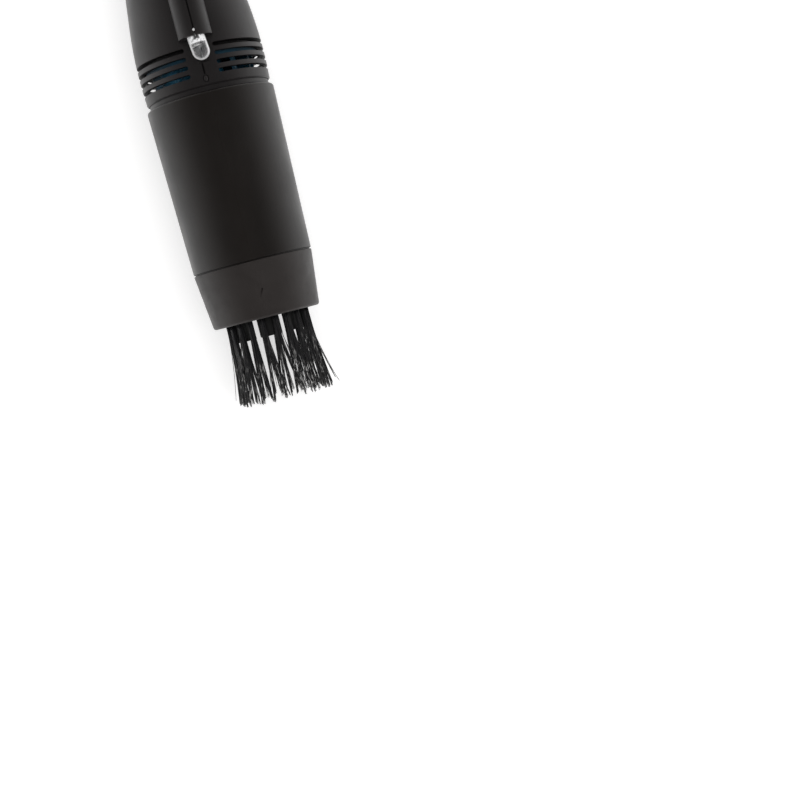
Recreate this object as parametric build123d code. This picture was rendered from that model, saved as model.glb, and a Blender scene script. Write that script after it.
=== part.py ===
from build123d import *
import math
import os

# Keyboard vacuum cleaner, lying on its side with the spine up. All sizes are in millimetres.
# Every piece is drawn in the tool's own frame: the axis is X and points to the brush, the spine is
# on +Z, and station 0 is the rear rim of the dust cup. Stations behind the rim are negative.
# The pieces are moved into the row's frame when they are written.

# Housing shell. The other radii are counted from the housing's largest one.
BODY_RADIUS = 18.5
BODY_CREST = 10.0
BODY_CURVE = 115.0
BODY_CURVE_BACK = 14.4
BODY_WALL = 1.6
TAIL_LENGTH = 29.0
TAIL_ROUND = 3.5
NOSE_LENGTH = 8.0
NOSE_WALL = 1.7
NECK_LENGTH = 1.5
SHOULDER_BEVEL = 0.4
COLLAR_STEP = 0.6
SEAM_HALF_WIDTH = 0.22
SEAM_DEPTH = 0.7
NIB_RADIUS = 0.55
NIB_STRETCH = 1.5
NIB_HEIGHT = 0.75
NIB_DISH = 1.55
NIB_DISH_DEPTH = 0.5
NIB_SETBACK = 1.9
RIB = 1.4
BULKHEAD = 3.9
SADDLE_FROM_FRONT = 5.0
SADDLE_FROM_BACK = 4.0

# Dust cup
CUP_LENGTH = 48.5
CUP_STEP = 0.25
CUP_TAPER = 1.15
CUP_WALL = 1.4
CUP_RIM_LAND = 1.2
CUP_RIM_ROUND = 0.6
CUP_SOCKET_SPARE = 1.5
CUP_SOCKET_RAMP = 1.0
CUP_GROOVE_WIDTH = 0.5
CUP_GROOVE_DEPTH = 0.45
CUP_EDGE_ROUND = 0.15
NOZZLE_LENGTH = 8.0
NOZZLE_WALL = 1.4
NOZZLE_BEVEL = 0.5

# Vent slots
VENT_ROWS = 4
VENT_SETBACK = 1.95
VENT_PITCH = 2.45
VENT_HEIGHT = 1.2
VENT_DEPTH = 2.8
VENT_BAND_HALF_WIDTH = 4.1

# Spine that carries the lamp in front and the switch behind it
SPINE_SETBACK = 1.95
SPINE_HEIGHT = 5.5
SPINE_HALF_WIDTH = 4.8
SPINE_RISE = 3.6
SPINE_SLOPE = 0.1445
SPINE_FALL = 14.0
SPINE_WALL = 1.3
SPINE_KNEE_SETBACK = 1.5
SPINE_END_DROP = 1.0
SPINE_STEP = 2.5
SPINE_STEP_SPARE = 1.0
SPINE_HOLLOW_END = 0.5

# Lamp: a plain 5 mm LED, a little askew in its hole, with its series resistor
LED_RADIUS = 2.5
LED_LENGTH = 8.6
LED_FLANGE_RADIUS = 2.9
LED_FLANGE = 1.0
LED_SKIN = 0.65
LED_WALL = 1.0
LED_PIP_RADIUS = 0.38
LED_PIP_HEIGHT = 0.45
LED_PIP_ROOT = 0.4
LED_FIT = 0.1
LED_POCKET_SPARE = 0.2
LED_CRADLE_FIT = 0.25
LED_CRADLE_SPARE = 0.4
LED_TILT = 5.5
LED_LEAD_PITCH = 2.54
LED_LEAD_WIDTH = 0.5
LED_LEAD_RUN = 1.4
LED_LEAD_DROP = 1.8
LED_LEAD_BEND = 0.8
LED_LEAD_LENGTH = 6.4
RESISTOR_RADIUS = 0.9
RESISTOR_LENGTH = 3.4
RESISTOR_BULGE_SHARE = 0.28
RESISTOR_WAIST_SHARE = 0.85
RESISTOR_LEAD = 1.4

# Slide switch
SWITCH_GAP = 5.95
SWITCH_TRAVEL = 3.0
SWITCH_SPARE = 0.3
SWITCH_SIDE_FIT = 0.2
SWITCH_SEAT_DEPTH = 1.9
SWITCH_RECESS_SPARE = 1.0
SLIDER_LENGTH = 10.0
SLIDER_WIDTH = 5.4
SLIDER_HEIGHT = 1.7
SLIDER_RIBS = 5
SLIDER_RIBBED_SHARE = 0.7
SLIDER_GROOVE = 0.4
SLIDER_GROOVE_LIFT = 0.1
SLIDER_CORNER = 1.2
SLIDER_EDGE = 0.5
SLIDER_NECK_LENGTH = 5.0
SLIDER_NECK_WIDTH = 3.2
SLIDER_KEEPER = 1.1
SLIDER_KEEPER_REACH = 1.6
SWITCH_PLATE_LENGTH = 15.0
SWITCH_PLATE_WIDTH = 8.4
SWITCH_PLATE_THICKNESS = 0.8
SWITCH_PLATE_DROP = 5.2
SWITCH_RAIL_WALL = 1.0
SWITCH_RAIL_BITE = 0.4
SWITCH_BODY_LENGTH = 10.0
SWITCH_BODY_WIDTH = 5.6
SWITCH_BODY_HEIGHT = 4.5
SWITCH_STEM_WIDTH = 1.6
SWITCH_STEM_RISE = 0.2
SWITCH_FOOT = 1.4
SWITCH_FOOT_LENGTH = 3.2
SWITCH_FOOT_WIDTH = 2.4
SWITCH_FOOT_DROP = 1.0
SWITCH_PIN_PITCH = 3.0
SWITCH_PIN_LENGTH = 2.6
SWITCH_PIN_WIDTH = 0.8
SWITCH_PIN_THICKNESS = 0.5

# Motor
MOTOR_ROOM = 6.3
MOTOR_LENGTH = 27.0
MOTOR_CAN_WALL = 0.9
MOTOR_CAN_ROUND = 0.81
MOTOR_CAP_THICKNESS = 2.0
MOTOR_BOSS_RADIUS = 4.1
MOTOR_BOSS_LENGTH = 1.6
SHAFT_RADIUS = 1.0
SHAFT_STUB = 0.4
BUSH_RADIUS = 2.6
BUSH_LENGTH = 2.9
MAGNET_THICKNESS = 1.9
MAGNET_SHARE = 0.70
MAGNET_ARC = 124.0
ARMATURE_SHARE = 0.52
ARMATURE_GAP = 0.6
ARMATURE_FORWARD = 1.0
ARMATURE_POLES = 3
CORE_SHARE = 0.345
POLE_NECK_SHARE = 0.23
SHOE_SHARE = 0.783
SHOE_GAP_ARC = 14.0
COIL_END = 2.0
COIL_SHARE = 0.41
COIL_LOW_SHARE = 0.39
COIL_ROUND_SHARE = 0.4
COMMUTATOR_RADIUS = 2.8
COMMUTATOR_LENGTH = 3.4
COMMUTATOR_GAP = 0.6
COMMUTATOR_GROOVE = 0.3
COMMUTATOR_GROOVE_DEPTH = 0.5
CARBON_LENGTH = 1.6
CARBON_DEPTH = 1.6
CARBON_WIDTH = 1.2
ARM_THICKNESS = 0.6
ARM_WIDTH = 1.8
TERMINAL_SHARE = 0.574
TERMINAL_WIDTH = 2.2
TERMINAL_LENGTH = 3.4
TERMINAL_THICKNESS = 0.5
TERMINAL_EYE = 0.6
CAPACITOR_RADIUS = 2.6
CAPACITOR_THICKNESS = 1.8
CAPACITOR_GAP = 1.6
CAPACITOR_ROUND_SHARE = 0.35
CAPACITOR_LEAD_RADIUS = 0.25
CAPACITOR_LEAD_RUN = 0.9
CAPACITOR_LEAD_BEND = 0.4
CAPACITOR_LEAD_ROOT_SHARE = 0.6

# Fan
FAN_ROOM = 3.8
FAN_BLADES = 12
FAN_BLADE_HEIGHT = 5.6
FAN_BLADE_ROOT = 0.3
FAN_BLADE_START = 1.4
FAN_BLADE_THICKNESS = 1.0
FAN_BLADE_SWEEP = 55.0
FAN_DISC_THICKNESS = 1.2
FAN_DISC_GAP = 0.5
FAN_HUB_RADIUS = 3.2
FAN_HUB_LENGTH = 2.2
FAN_HUB_SETBACK = 0.8
FAN_GAP = 0.8
MOTOR_STANDOFF = 2.2
INLET_THICKNESS = 1.4
INLET_LEDGE = 0.5
INLET_LAND = 0.3
INLET_FIT = 0.1
INLET_LIP = 1.1
INLET_LIP_REACH = 0.2
INLET_EYE_SHARE = 0.547
INLET_SPOKE_WIDTH = 1.2
INLET_SPOKE_BITE = 0.5
INLET_HUB_RADIUS = 2.4
INLET_SPOKES = 6

# Filter
FILTER_PLUG_LENGTH = 6.0
FILTER_PLUG_WALL = 1.5
FILTER_FLANGE = 1.2
FILTER_FLANGE_STEP = 0.3
FILTER_LENGTH = 15.0
FILTER_TAPER = 4.1
FILTER_CLOTH = 0.7
FILTER_RIBS = 6
FILTER_RIB_ARC = 7.0
FILTER_BAR = 1.0
FILTER_RING = 1.8
FILTER_RING_WALL = 1.4

# Brush
TUFTS = 20
TUFT_MARGIN = 5.8
TUFT_RADIUS = 0.95
TUFT_ROUNDS = ((7, 0.46), (14, 0.88))
TUFT_SECTORS = 5
TUFT_SECTOR_GAP = 0.6
BRISTLE_LENGTH = 24.4
BRISTLE_WIDTH = 0.26
BRISTLE_ROOT = 0.5
BRISTLE_TRIM = 0.9
TRIM_STEPS = 7
TRIM_STRIDE = 5
BRISTLE_LEAN = 1.5
TUFT_SPREAD = 1.85
TUFT_PAD = 1.2
CAP_LENGTH = 16.4
CAP_LIP = 2.5
CAP_ROUND = 0.9
CAP_RECESS = 0.7
TICK_PLACE = 0.56
TICK_ANGLE = -26.0
TICK_LENGTH = 2.6
TICK_WIDTH = 0.35
TICK_DEPTH = 0.2
HOLDER_PLATE = 6.0
HOLDER_WALL = 1.3
HOLDER_REACH = 6.0
HOLDER_SLOTS = 8
HOLDER_SLOT_WIDTH = 2.0
HOLDER_SLOT_START = 0.4
HOLDER_FLANGE = 0.6
HOLDER_FLANGE_THICKNESS = 1.0
HOLDER_RIM = 0.55

# Housing screws
SCREW_RADIUS = 1.1
SCREW_HEAD_RADIUS = 2.0
SCREW_HEAD_HEIGHT = 1.4
SCREW_HEAD_ROUND = 0.84
SCREW_POINT = 0.66
SCREW_CROSS = 2.2
SCREW_CROSS_WIDTH = 0.5
SCREW_CROSS_DEPTH = 0.7
SCREW_PILOT_SPARE = 0.6
SCREW_WELL_FIT = 0.2
SCREW_SETBACK = 9.05
SCREW_FROM_TAIL = 11.5
SCREW_SEAT_SHARE = 0.4
SCREW_LENGTH_SHARE = 0.9
SCREW_FRONT_DROP = 0.43
SCREW_REAR_DROP = 0.2
BOSS_RADIUS = 2.5

# Cord gland and wires
GLAND_BORE = 1.75
GLAND_NECK_RADIUS = 2.6
GLAND_FLANGE_RADIUS = 4.0
GLAND_FLANGE = 0.9
GLAND_INNER_STEP = 0.4
GLAND_ROUND = 0.63
WIRE_RADIUS = 0.55
WIRE_BEND = 0.8
WIRE_BEND_SHARE = 0.45
WIRE_STRAIGHT = 0.05
WIRE_FIT = 0.2
WIRE_RUN = 3.0
WIRE_TAB_RUN = 2.6
WIRE_SAG = 0.3
WIRE_TURN = 2.0
WIRE_SPREAD = 1.4
WIRE_OVER_MOTOR = 4.6
WIRE_OVER_CAP = 4.0
WIRE_BEHIND_CAP = 3.6

# Clearances, and how far a cutter runs past the face that it opens
OVERCUT = 1.0
SLIDE_FIT = 0.15
CLOSE_FIT = 0.05
RUNNING_FIT = 0.03
SEAT_GAP = 0.05

# Radii that follow from the housing
cup_rear_radius = BODY_RADIUS + CUP_STEP
cup_front_radius = cup_rear_radius - CUP_TAPER
nose_radius = cup_rear_radius - CUP_WALL - SLIDE_FIT
nose_bore = nose_radius - NOSE_WALL
motor_radius = BODY_RADIUS - MOTOR_ROOM
fan_radius = BODY_RADIUS - FAN_ROOM
fan_disc_radius = BODY_RADIUS - BODY_WALL - FAN_DISC_GAP
inlet_radius = nose_bore + INLET_LEDGE
inlet_eye = fan_radius * INLET_EYE_SHARE
filter_tip = nose_bore - FILTER_TAPER
terminal_offset = motor_radius * TERMINAL_SHARE
body_slope = BODY_CURVE_BACK / math.sqrt(BODY_CURVE**2 - BODY_CURVE_BACK**2)

# Fan chamber and motor, counted back from the plate in front of the fan
inlet_front = -NECK_LENGTH - SEAT_GAP
inlet_back = inlet_front - INLET_THICKNESS
blade_front = inlet_back - FAN_GAP
disc_front = blade_front - FAN_BLADE_HEIGHT
disc_back = disc_front - FAN_DISC_THICKNESS
hub_back = disc_back - FAN_HUB_LENGTH
motor_front = hub_back - MOTOR_STANDOFF
motor_back = motor_front - MOTOR_LENGTH
cap_back = motor_back - MOTOR_CAP_THICKNESS
boss_back = cap_back - MOTOR_BOSS_LENGTH
terminal_end = cap_back - TERMINAL_LENGTH

# Armature, sized from the room inside the magnets
armature_radius = motor_radius - MOTOR_CAN_WALL - SEAT_GAP - MAGNET_THICKNESS - ARMATURE_GAP
armature_middle = (motor_front + motor_back) / 2 + ARMATURE_FORWARD
armature_back = armature_middle - ARMATURE_SHARE * MOTOR_LENGTH / 2
armature_front = armature_middle + ARMATURE_SHARE * MOTOR_LENGTH / 2
shoe_inner = SHOE_SHARE * armature_radius
pole_neck_half = POLE_NECK_SHARE * armature_radius
core_radius = CORE_SHARE * armature_radius
coil_half = COIL_SHARE * armature_radius
coil_low = COIL_LOW_SHARE * armature_radius
commutator_front = armature_back - COIL_END - COMMUTATOR_GAP

# Vents, spine and lamp
vent_first = inlet_back - VENT_SETBACK
vent_last = vent_first - (VENT_ROWS - 1) * VENT_PITCH
spine_front = vent_last - VENT_HEIGHT / 2 - SPINE_SETBACK
spine_top = BODY_RADIUS + SPINE_HEIGHT
nib_station = -NECK_LENGTH - NIB_SETBACK
led_axis = spine_top - LED_SKIN - LED_FLANGE_RADIUS
led_seat = spine_front - LED_WALL
led_back = led_seat - LED_FLANGE
lamp_place = Pos(led_seat, 0, led_axis) * Rot(Z=LED_TILT)
lead_height = led_axis - LED_LEAD_DROP
lead_end = led_back - LED_LEAD_LENGTH
resistor_end = lead_end - 2 * RESISTOR_LEAD - RESISTOR_LENGTH - 2 * SEAT_GAP

# Switch and tail, counted back from the motor
switch_middle = boss_back - SWITCH_GAP - SWITCH_PLATE_LENGTH / 2
switch_rest = switch_middle - SWITCH_TRAVEL / 2
switch_recess_half = SLIDER_LENGTH / 2 + SWITCH_TRAVEL / 2 + SWITCH_RECESS_SPARE
switch_seat = spine_top - SPINE_SLOPE * (spine_front - switch_middle) - SWITCH_SEAT_DEPTH
switch_roof = switch_seat - SPINE_WALL
keeper_half = SLIDER_NECK_LENGTH / 2 + SLIDER_KEEPER_REACH
stem_top = switch_roof + SWITCH_STEM_RISE
plate_top = switch_roof - SWITCH_PLATE_DROP
plate_back = plate_top - SWITCH_PLATE_THICKNESS
pin_top = plate_back - SWITCH_BODY_HEIGHT
pin_bottom = pin_top - SWITCH_PIN_LENGTH
front_pin = switch_middle + SWITCH_PIN_PITCH
spine_knee = switch_middle - switch_recess_half - SPINE_KNEE_SETBACK
spine_knee_top = spine_top - SPINE_SLOPE * (spine_front - spine_knee)
spine_end = spine_knee - SPINE_FALL
tail = switch_middle - SWITCH_PLATE_LENGTH / 2 - TAIL_LENGTH
tail_end = tail - GLAND_FLANGE

# Brush, counted forward from the dust cup
cup_front = CUP_LENGTH
nozzle_end = CUP_LENGTH + NOZZLE_LENGTH
cap_rear = CUP_LENGTH + CUP_GROOVE_WIDTH
cap_front = cap_rear + CAP_LENGTH
bristle_tip = cap_front + BRISTLE_LENGTH
tuft_ring = cup_front_radius - TUFT_MARGIN
holder_skirt = tuft_ring - TUFT_RADIUS - SLIDE_FIT
holder_bore = holder_skirt - HOLDER_WALL
holder_radius = tuft_ring + TUFT_RADIUS + HOLDER_RIM
holder_flange = holder_radius + HOLDER_FLANGE
cap_bore = holder_radius + CLOSE_FIT
cap_socket = holder_flange + CLOSE_FIT
cap_front_radius = cap_bore + CAP_LIP
nozzle_radius = holder_flange
nozzle_bore = nozzle_radius - NOZZLE_WALL
pad_front = cap_front - CAP_RECESS
pad_back = pad_front - TUFT_PAD
holder_front = pad_back - SEAT_GAP
holder_back = holder_front - HOLDER_PLATE

# The row's origin is the bottom centre of the whole tool
x_shift = -(tail_end + bristle_tip) / 2
ROW = Pos(x_shift, 0, cup_rear_radius)


def save(node, shape):
    """Write one node of the assembly, moved into the row's frame."""
    export_step(ROW * shape, f"parts/{node}.step")


def group(pieces):
    """Separate solids that make up one node."""
    return Compound([solid for piece in pieces for solid in piece.solids()])


def turned(points, arc=360.0):
    """A solid turned about the tool's axis from its outline of station and radius pairs."""
    outline = make_face(Polyline(*points, close=True))
    return revolve(Plane.XZ * outline, Axis.X, arc)


def ring(back, front, inner, outer, arc=360.0):
    """A square-cut ring about the tool's axis, or part of one."""
    return turned(((back, inner), (front, inner), (front, outer), (back, outer)), arc)


def disc(back, front, outer):
    """A plain disc about the tool's axis."""
    return ring(back, front, 0.0, outer)


def rim(solid, station, radius):
    """The round edge of a turned solid that lies nearest to a station and a radius."""
    circles = solid.edges().filter_by(GeomType.CIRCLE)
    return min(circles, key=lambda edge: abs(edge.arc_center.X - station) + abs(edge.radius - radius))


def block(back, front, y_low, y_high, z_low, z_high):
    """A box between two stations and four sides."""
    size = Box(front - back, y_high - y_low, z_high - z_low)
    return Pos((back + front) / 2, (y_low + y_high) / 2, (z_low + z_high) / 2) * size


def around(shape, count, first=0.0):
    """Copies of a shape spaced evenly about the tool's axis."""
    return [Rot(X=first + 360.0 * step / count) * shape for step in range(count)]


def body_radius(station):
    """Outer radius of the housing: an arc over the crest that runs into a straight taper."""
    from_crest = station + BODY_CREST
    if from_crest > -BODY_CURVE_BACK:
        return BODY_RADIUS - BODY_CURVE + math.sqrt(BODY_CURVE**2 - from_crest**2)
    curve_end = BODY_RADIUS - BODY_CURVE + math.sqrt(BODY_CURVE**2 - BODY_CURVE_BACK**2)
    return curve_end + body_slope * (from_crest + BODY_CURVE_BACK)


def body_form(inset, front_radius, front, shoulder):
    """The housing's turned form, drawn in by an inset, with a plain nose ahead of the shoulder."""
    curve_end = -BODY_CREST - BODY_CURVE_BACK
    back = tail + inset
    top = (shoulder, body_radius(shoulder) - inset)
    crest = (-BODY_CREST, BODY_RADIUS - inset)
    taper = (curve_end, body_radius(curve_end) - inset)
    last = (back, body_radius(back) - inset)
    outline = Polyline((front, 0), (front, front_radius), (shoulder, front_radius), top)
    outline += ThreePointArc(top, crest, taper)
    outline += Polyline(taper, last, (back, 0), (front, 0))
    return revolve(Plane.XZ * make_face(outline), Axis.X)


def body_outside():
    """Outer form of the turned part of the housing: bevelled shoulder, low collar and round tail."""
    form = body_form(0.0, nose_radius, NOSE_LENGTH, -NECK_LENGTH)
    form = chamfer(rim(form, -NECK_LENGTH, body_radius(-NECK_LENGTH)), SHOULDER_BEVEL)
    form = fillet(rim(form, tail, body_radius(tail)), TAIL_ROUND)
    collar = body_radius(-NECK_LENGTH) - COLLAR_STEP
    return form + ring(-NECK_LENGTH - RIB, -SLIDE_FIT, nose_radius - NOSE_WALL / 2, collar)


def body_inside():
    """The hollow of the turned part of the housing, open at the nose."""
    return body_form(BODY_WALL, nose_bore, NOSE_LENGTH + OVERCUT, inlet_front + SEAT_GAP)


def arch(station, top, inset=0.0):
    """Cross-section of the spine: straight sides closed by a low arc."""
    half = SPINE_HALF_WIDTH - inset
    crown = top - inset
    side = crown - SPINE_RISE * half / SPINE_HALF_WIDTH
    outline = Polyline((-half, side), (-half, 0), (half, 0), (half, side))
    outline += ThreePointArc((half, side), (0, crown), (-half, side))
    return Plane(origin=(station, 0, 0), x_dir=(0, 1, 0), z_dir=(1, 0, 0)) * make_face(outline)


def spine_outside(inset=0.0):
    """Outer form of the spine, which falls gently to the switch and then quickly into the tail."""
    front = arch(spine_front - inset, spine_top, inset)
    knee = arch(spine_knee, spine_knee_top, inset)
    end = arch(spine_end, body_radius(spine_end) - SPINE_END_DROP, inset)
    return loft([front, knee, end], ruled=True)


def spine_inside():
    """The hollow of the spine, which is lower under the switch."""
    switch_front = switch_middle + switch_recess_half + SPINE_STEP_SPARE
    step_front = switch_front + SPINE_STEP
    step_top = spine_top - SPINE_SLOPE * (spine_front - step_front)
    front = arch(led_seat, spine_top, SPINE_WALL)
    step = arch(step_front, step_top, SPINE_WALL)
    low = arch(switch_front, switch_roof + SPINE_WALL, SPINE_WALL)
    end = arch(spine_knee + SPINE_HOLLOW_END, switch_roof + SPINE_WALL, SPINE_WALL)
    return loft([front, step, low, end], ruled=True)


def lamp_bore(radius, back, front):
    """A round bore on the lamp's own axis, between two distances from the seat of its flange."""
    return lamp_place * disc(back, front, radius)


def vent_slots():
    """Round-ended slots on both sides, with a plain band along the top and the bottom.

    The front ones let the fan's air out. The rear one ends blind in the bulkhead behind the fan."""
    edge = math.degrees(math.asin(VENT_BAND_HALF_WIDTH / BODY_RADIUS))
    first = edge + math.degrees(VENT_HEIGHT / 2 / BODY_RADIUS)
    arc = 180 - 2 * first
    inner = BODY_RADIUS - VENT_DEPTH
    outer = BODY_RADIUS + OVERCUT
    slots = []
    for row in range(VENT_ROWS):
        middle = vent_first - row * VENT_PITCH
        run = ring(middle - VENT_HEIGHT / 2, middle + VENT_HEIGHT / 2, inner, outer, arc)
        end = Pos(middle, 0, (inner + outer) / 2) * Cylinder(VENT_HEIGHT / 2, outer - inner)
        for start in (first, 180 + first):
            slots += [Rot(X=start) * piece for piece in (run, end, Rot(X=arc) * end)]
    return slots


def saddle(back, front, inner):
    """An inner ring that reaches from a given radius into the housing's wall."""
    return ring(back, front, inner, body_radius(back) - BODY_WALL / 2)


def inner_rings():
    """Rings inside the housing that hold the inlet plate, the motor and the gland."""
    lip_back = inlet_back - INLET_LIP
    plate_seat = ring(lip_back - INLET_FIT, inlet_front + INLET_LAND, inlet_radius + INLET_FIT, nose_radius)
    plate_lip = ring(lip_back, inlet_back - SEAT_GAP, nose_bore - INLET_LIP_REACH, nose_radius)
    bulkhead = saddle(motor_front + SEAT_GAP, motor_front + BULKHEAD, MOTOR_BOSS_RADIUS + CLOSE_FIT)
    front_rib = motor_front - SADDLE_FROM_FRONT
    rear_rib = motor_back + SADDLE_FROM_BACK
    front_saddle = saddle(front_rib - RIB, front_rib, motor_radius + CLOSE_FIT)
    rear_saddle = saddle(rear_rib, rear_rib + RIB, motor_radius + CLOSE_FIT)
    stop = saddle(cap_back - RIB, cap_back - SEAT_GAP, terminal_offset + TERMINAL_WIDTH)
    return [plate_seat, plate_lip, bulkhead, front_saddle, rear_saddle, stop]


def switch_rails():
    """Grooved rails on the inner walls that hold the switch plate by its two long edges."""
    reach = SWITCH_PLATE_WIDTH / 2
    half = SWITCH_PLATE_LENGTH / 2
    back = switch_middle - half
    front = switch_middle + half
    low = plate_back - SWITCH_RAIL_WALL
    high = plate_top + SWITCH_RAIL_WALL
    bar = block(back, front, -2 * reach, 2 * reach, low, high)
    inside = reach - SWITCH_RAIL_BITE
    gap = block(back - OVERCUT, front + OVERCUT, -inside, inside, low - OVERCUT, high + OVERCUT)
    groove = block(
        back - SEAT_GAP,
        front + SEAT_GAP,
        -reach - SEAT_GAP,
        reach + SEAT_GAP,
        plate_back - SEAT_GAP,
        plate_top + SEAT_GAP,
    )
    return (bar - gap - groove) & body_form(BODY_WALL / 2, nose_bore, 0.0, -NECK_LENGTH)


def screw_places():
    """Station and height of each housing screw, one behind the motor and one near the tail."""
    front = cap_back - SCREW_SETBACK
    rear = tail + SCREW_FROM_TAIL
    return (
        (front, -SCREW_FRONT_DROP * body_radius(front)),
        (rear, -SCREW_REAR_DROP * body_radius(rear)),
    )


def screw_reach():
    """How far a screw's head seat and its tip lie from the seam, set by the narrow end of the housing."""
    radius = body_radius(tail + SCREW_FROM_TAIL)
    seat = SCREW_SEAT_SHARE * radius
    return seat, SCREW_LENGTH_SHARE * radius - seat


def screw_line(station, height, radius, y_low, y_high):
    """A round bar across the housing, along a screw's own line."""
    middle = Pos(station, (y_low + y_high) / 2, height)
    return middle * Rot(X=90) * Cylinder(radius, y_high - y_low)


def housing():
    """The whole housing, before it is split along the seam."""
    outside = body_outside() + spine_outside()
    hollow = body_inside() + spine_inside()
    shell = outside - hollow
    bosses = [screw_line(*place, BOSS_RADIUS, -BODY_RADIUS, BODY_RADIUS) for place in screw_places()]
    inside = body_form(BODY_WALL / 2, nose_bore, 0.0, -NECK_LENGTH)
    shell += [boss & inside for boss in bosses]
    shell += inner_rings()
    shell += switch_rails()
    shell -= alignment_oval(NIB_DISH, NIB_DISH_DEPTH)
    shell += alignment_oval(1.0, NIB_HEIGHT)
    shell -= vent_slots()
    shell -= lamp_cuts()
    shell -= switch_cuts()
    shell -= screw_holes()
    shell -= disc(tail - OVERCUT, tail + BODY_WALL + OVERCUT, GLAND_NECK_RADIUS + SEAT_GAP)
    inner = body_form(SEAM_DEPTH, nose_radius, NOSE_LENGTH, -NECK_LENGTH) + spine_outside(SEAM_DEPTH)
    seam_front = nib_station - NIB_RADIUS * NIB_STRETCH * NIB_DISH
    half = SEAM_HALF_WIDTH
    seam = block(tail - OVERCUT, seam_front, -half, half, 0, spine_top + OVERCUT)
    return shell - (seam - inner)


def alignment_oval(grown, height):
    """An oval lump at the end of the seam, beside the dust cup's rim: the nib, or the dish it lies in."""
    lump = scale(Rot(X=90) * Sphere(NIB_RADIUS), (NIB_STRETCH * grown, grown, height))
    return Pos(nib_station, 0, body_radius(nib_station)) * lump


def lamp_cuts():
    """The lamp's bore, the pocket for its flange, its cradle on the shell and the hole for its pip."""
    lens = lamp_bore(LED_RADIUS + LED_FIT, -LED_WALL, LED_WALL + OVERCUT)
    pocket = lamp_bore(LED_FLANGE_RADIUS + LED_FIT, -LED_FLANGE - LED_POCKET_SPARE, 0)
    cradle_front = LED_LENGTH - LED_FLANGE + LED_CRADLE_SPARE
    cradle = lamp_bore(LED_RADIUS + LED_CRADLE_FIT, LED_WALL, cradle_front)
    return [lens, pocket, cradle, lamp_pip(LED_PIP_RADIUS + CLOSE_FIT, LED_FLANGE_RADIUS)]


def lamp_pip(radius, height):
    """A round post that stands on the lamp's flange and comes up through the spine on the seam."""
    root = LED_FLANGE_RADIUS - LED_PIP_ROOT
    post = Cylinder(radius, height + LED_PIP_ROOT, align=(Align.CENTER, Align.CENTER, Align.MIN))
    return lamp_place * Pos(-LED_FLANGE / 2, 0, root) * post


def switch_cuts():
    """The flat thumb recess on the spine, the window under the slider and a flat roof over its keeper."""
    recess_back = switch_middle - switch_recess_half
    recess_front = switch_middle + switch_recess_half
    recess = block(recess_back, recess_front, -BODY_RADIUS, BODY_RADIUS, switch_seat, spine_top + OVERCUT)
    window_half = SLIDER_NECK_LENGTH / 2 + SWITCH_TRAVEL / 2 + SWITCH_SPARE
    window_side = SLIDER_NECK_WIDTH / 2 + SWITCH_SIDE_FIT
    window = block(
        switch_middle - window_half,
        switch_middle + window_half,
        -window_side,
        window_side,
        switch_roof - OVERCUT,
        switch_seat + OVERCUT,
    )
    roof_half = keeper_half + SWITCH_TRAVEL / 2 + SWITCH_SPARE
    roof = block(
        switch_middle - roof_half,
        switch_middle + roof_half,
        -SLIDER_WIDTH / 2,
        SLIDER_WIDTH / 2,
        switch_roof - 2 * OVERCUT,
        switch_roof,
    )
    return [recess, window, roof]


def screw_holes():
    """For each screw a blind pilot on the left, a clear hole on the right and a well for the head."""
    seat, tip = screw_reach()
    holes = []
    for place in screw_places():
        holes.append(screw_line(*place, SCREW_RADIUS + RUNNING_FIT, 0, tip + SCREW_PILOT_SPARE))
        holes.append(screw_line(*place, SCREW_RADIUS + SLIDE_FIT, -seat - OVERCUT, 0))
        holes.append(screw_line(*place, SCREW_HEAD_RADIUS + SCREW_WELL_FIT, -BODY_RADIUS, -seat))
    return holes


def housing_half(whole, side):
    """One side of the housing, cut along the seam plane: 1 is the left and -1 the right."""
    reach = 2 * BODY_RADIUS
    y_low, y_high = sorted((0, side * reach))
    return whole & block(tail - OVERCUT, NOSE_LENGTH + OVERCUT, y_low, y_high, -reach, reach)


def housing_screws():
    """Self-tapping pan-head screws with a cross recess."""
    seat, tip = screw_reach()
    head_top = seat + SCREW_HEAD_HEIGHT
    screws = []
    for station, height in screw_places():
        head = screw_line(station, height, SCREW_HEAD_RADIUS, -head_top, -seat)
        head = fillet(head.edges().filter_by(GeomType.CIRCLE).sort_by(Axis.Y)[0], SCREW_HEAD_ROUND)
        shank = screw_line(station, height, SCREW_RADIUS, -seat, tip)
        shank = chamfer(shank.edges().filter_by(GeomType.CIRCLE).sort_by(Axis.Y)[-1], SCREW_POINT)
        depth = 2 * SCREW_CROSS_DEPTH
        slot = Box(SCREW_CROSS, depth, SCREW_CROSS_WIDTH) + Box(SCREW_CROSS_WIDTH, depth, SCREW_CROSS)
        slot = Pos(station, -head_top, height) * slot
        screws.append(head + shank - slot)
    return group(screws)


def cord_gland():
    """Rubber gland in the tail, flanged inside and out, with an open bore for the cord."""
    inner_front = tail + BODY_WALL + SEAT_GAP + GLAND_FLANGE
    inner_radius = GLAND_FLANGE_RADIUS - GLAND_INNER_STEP
    gland = turned(
        (
            (tail_end, GLAND_BORE),
            (inner_front, GLAND_BORE),
            (inner_front, inner_radius),
            (tail + BODY_WALL + SEAT_GAP, inner_radius),
            (tail + BODY_WALL + SEAT_GAP, GLAND_NECK_RADIUS),
            (tail, GLAND_NECK_RADIUS),
            (tail, GLAND_FLANGE_RADIUS),
            (tail_end, GLAND_FLANGE_RADIUS),
        )
    )
    return fillet(rim(gland, tail_end, GLAND_FLANGE_RADIUS), GLAND_ROUND)


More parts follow.
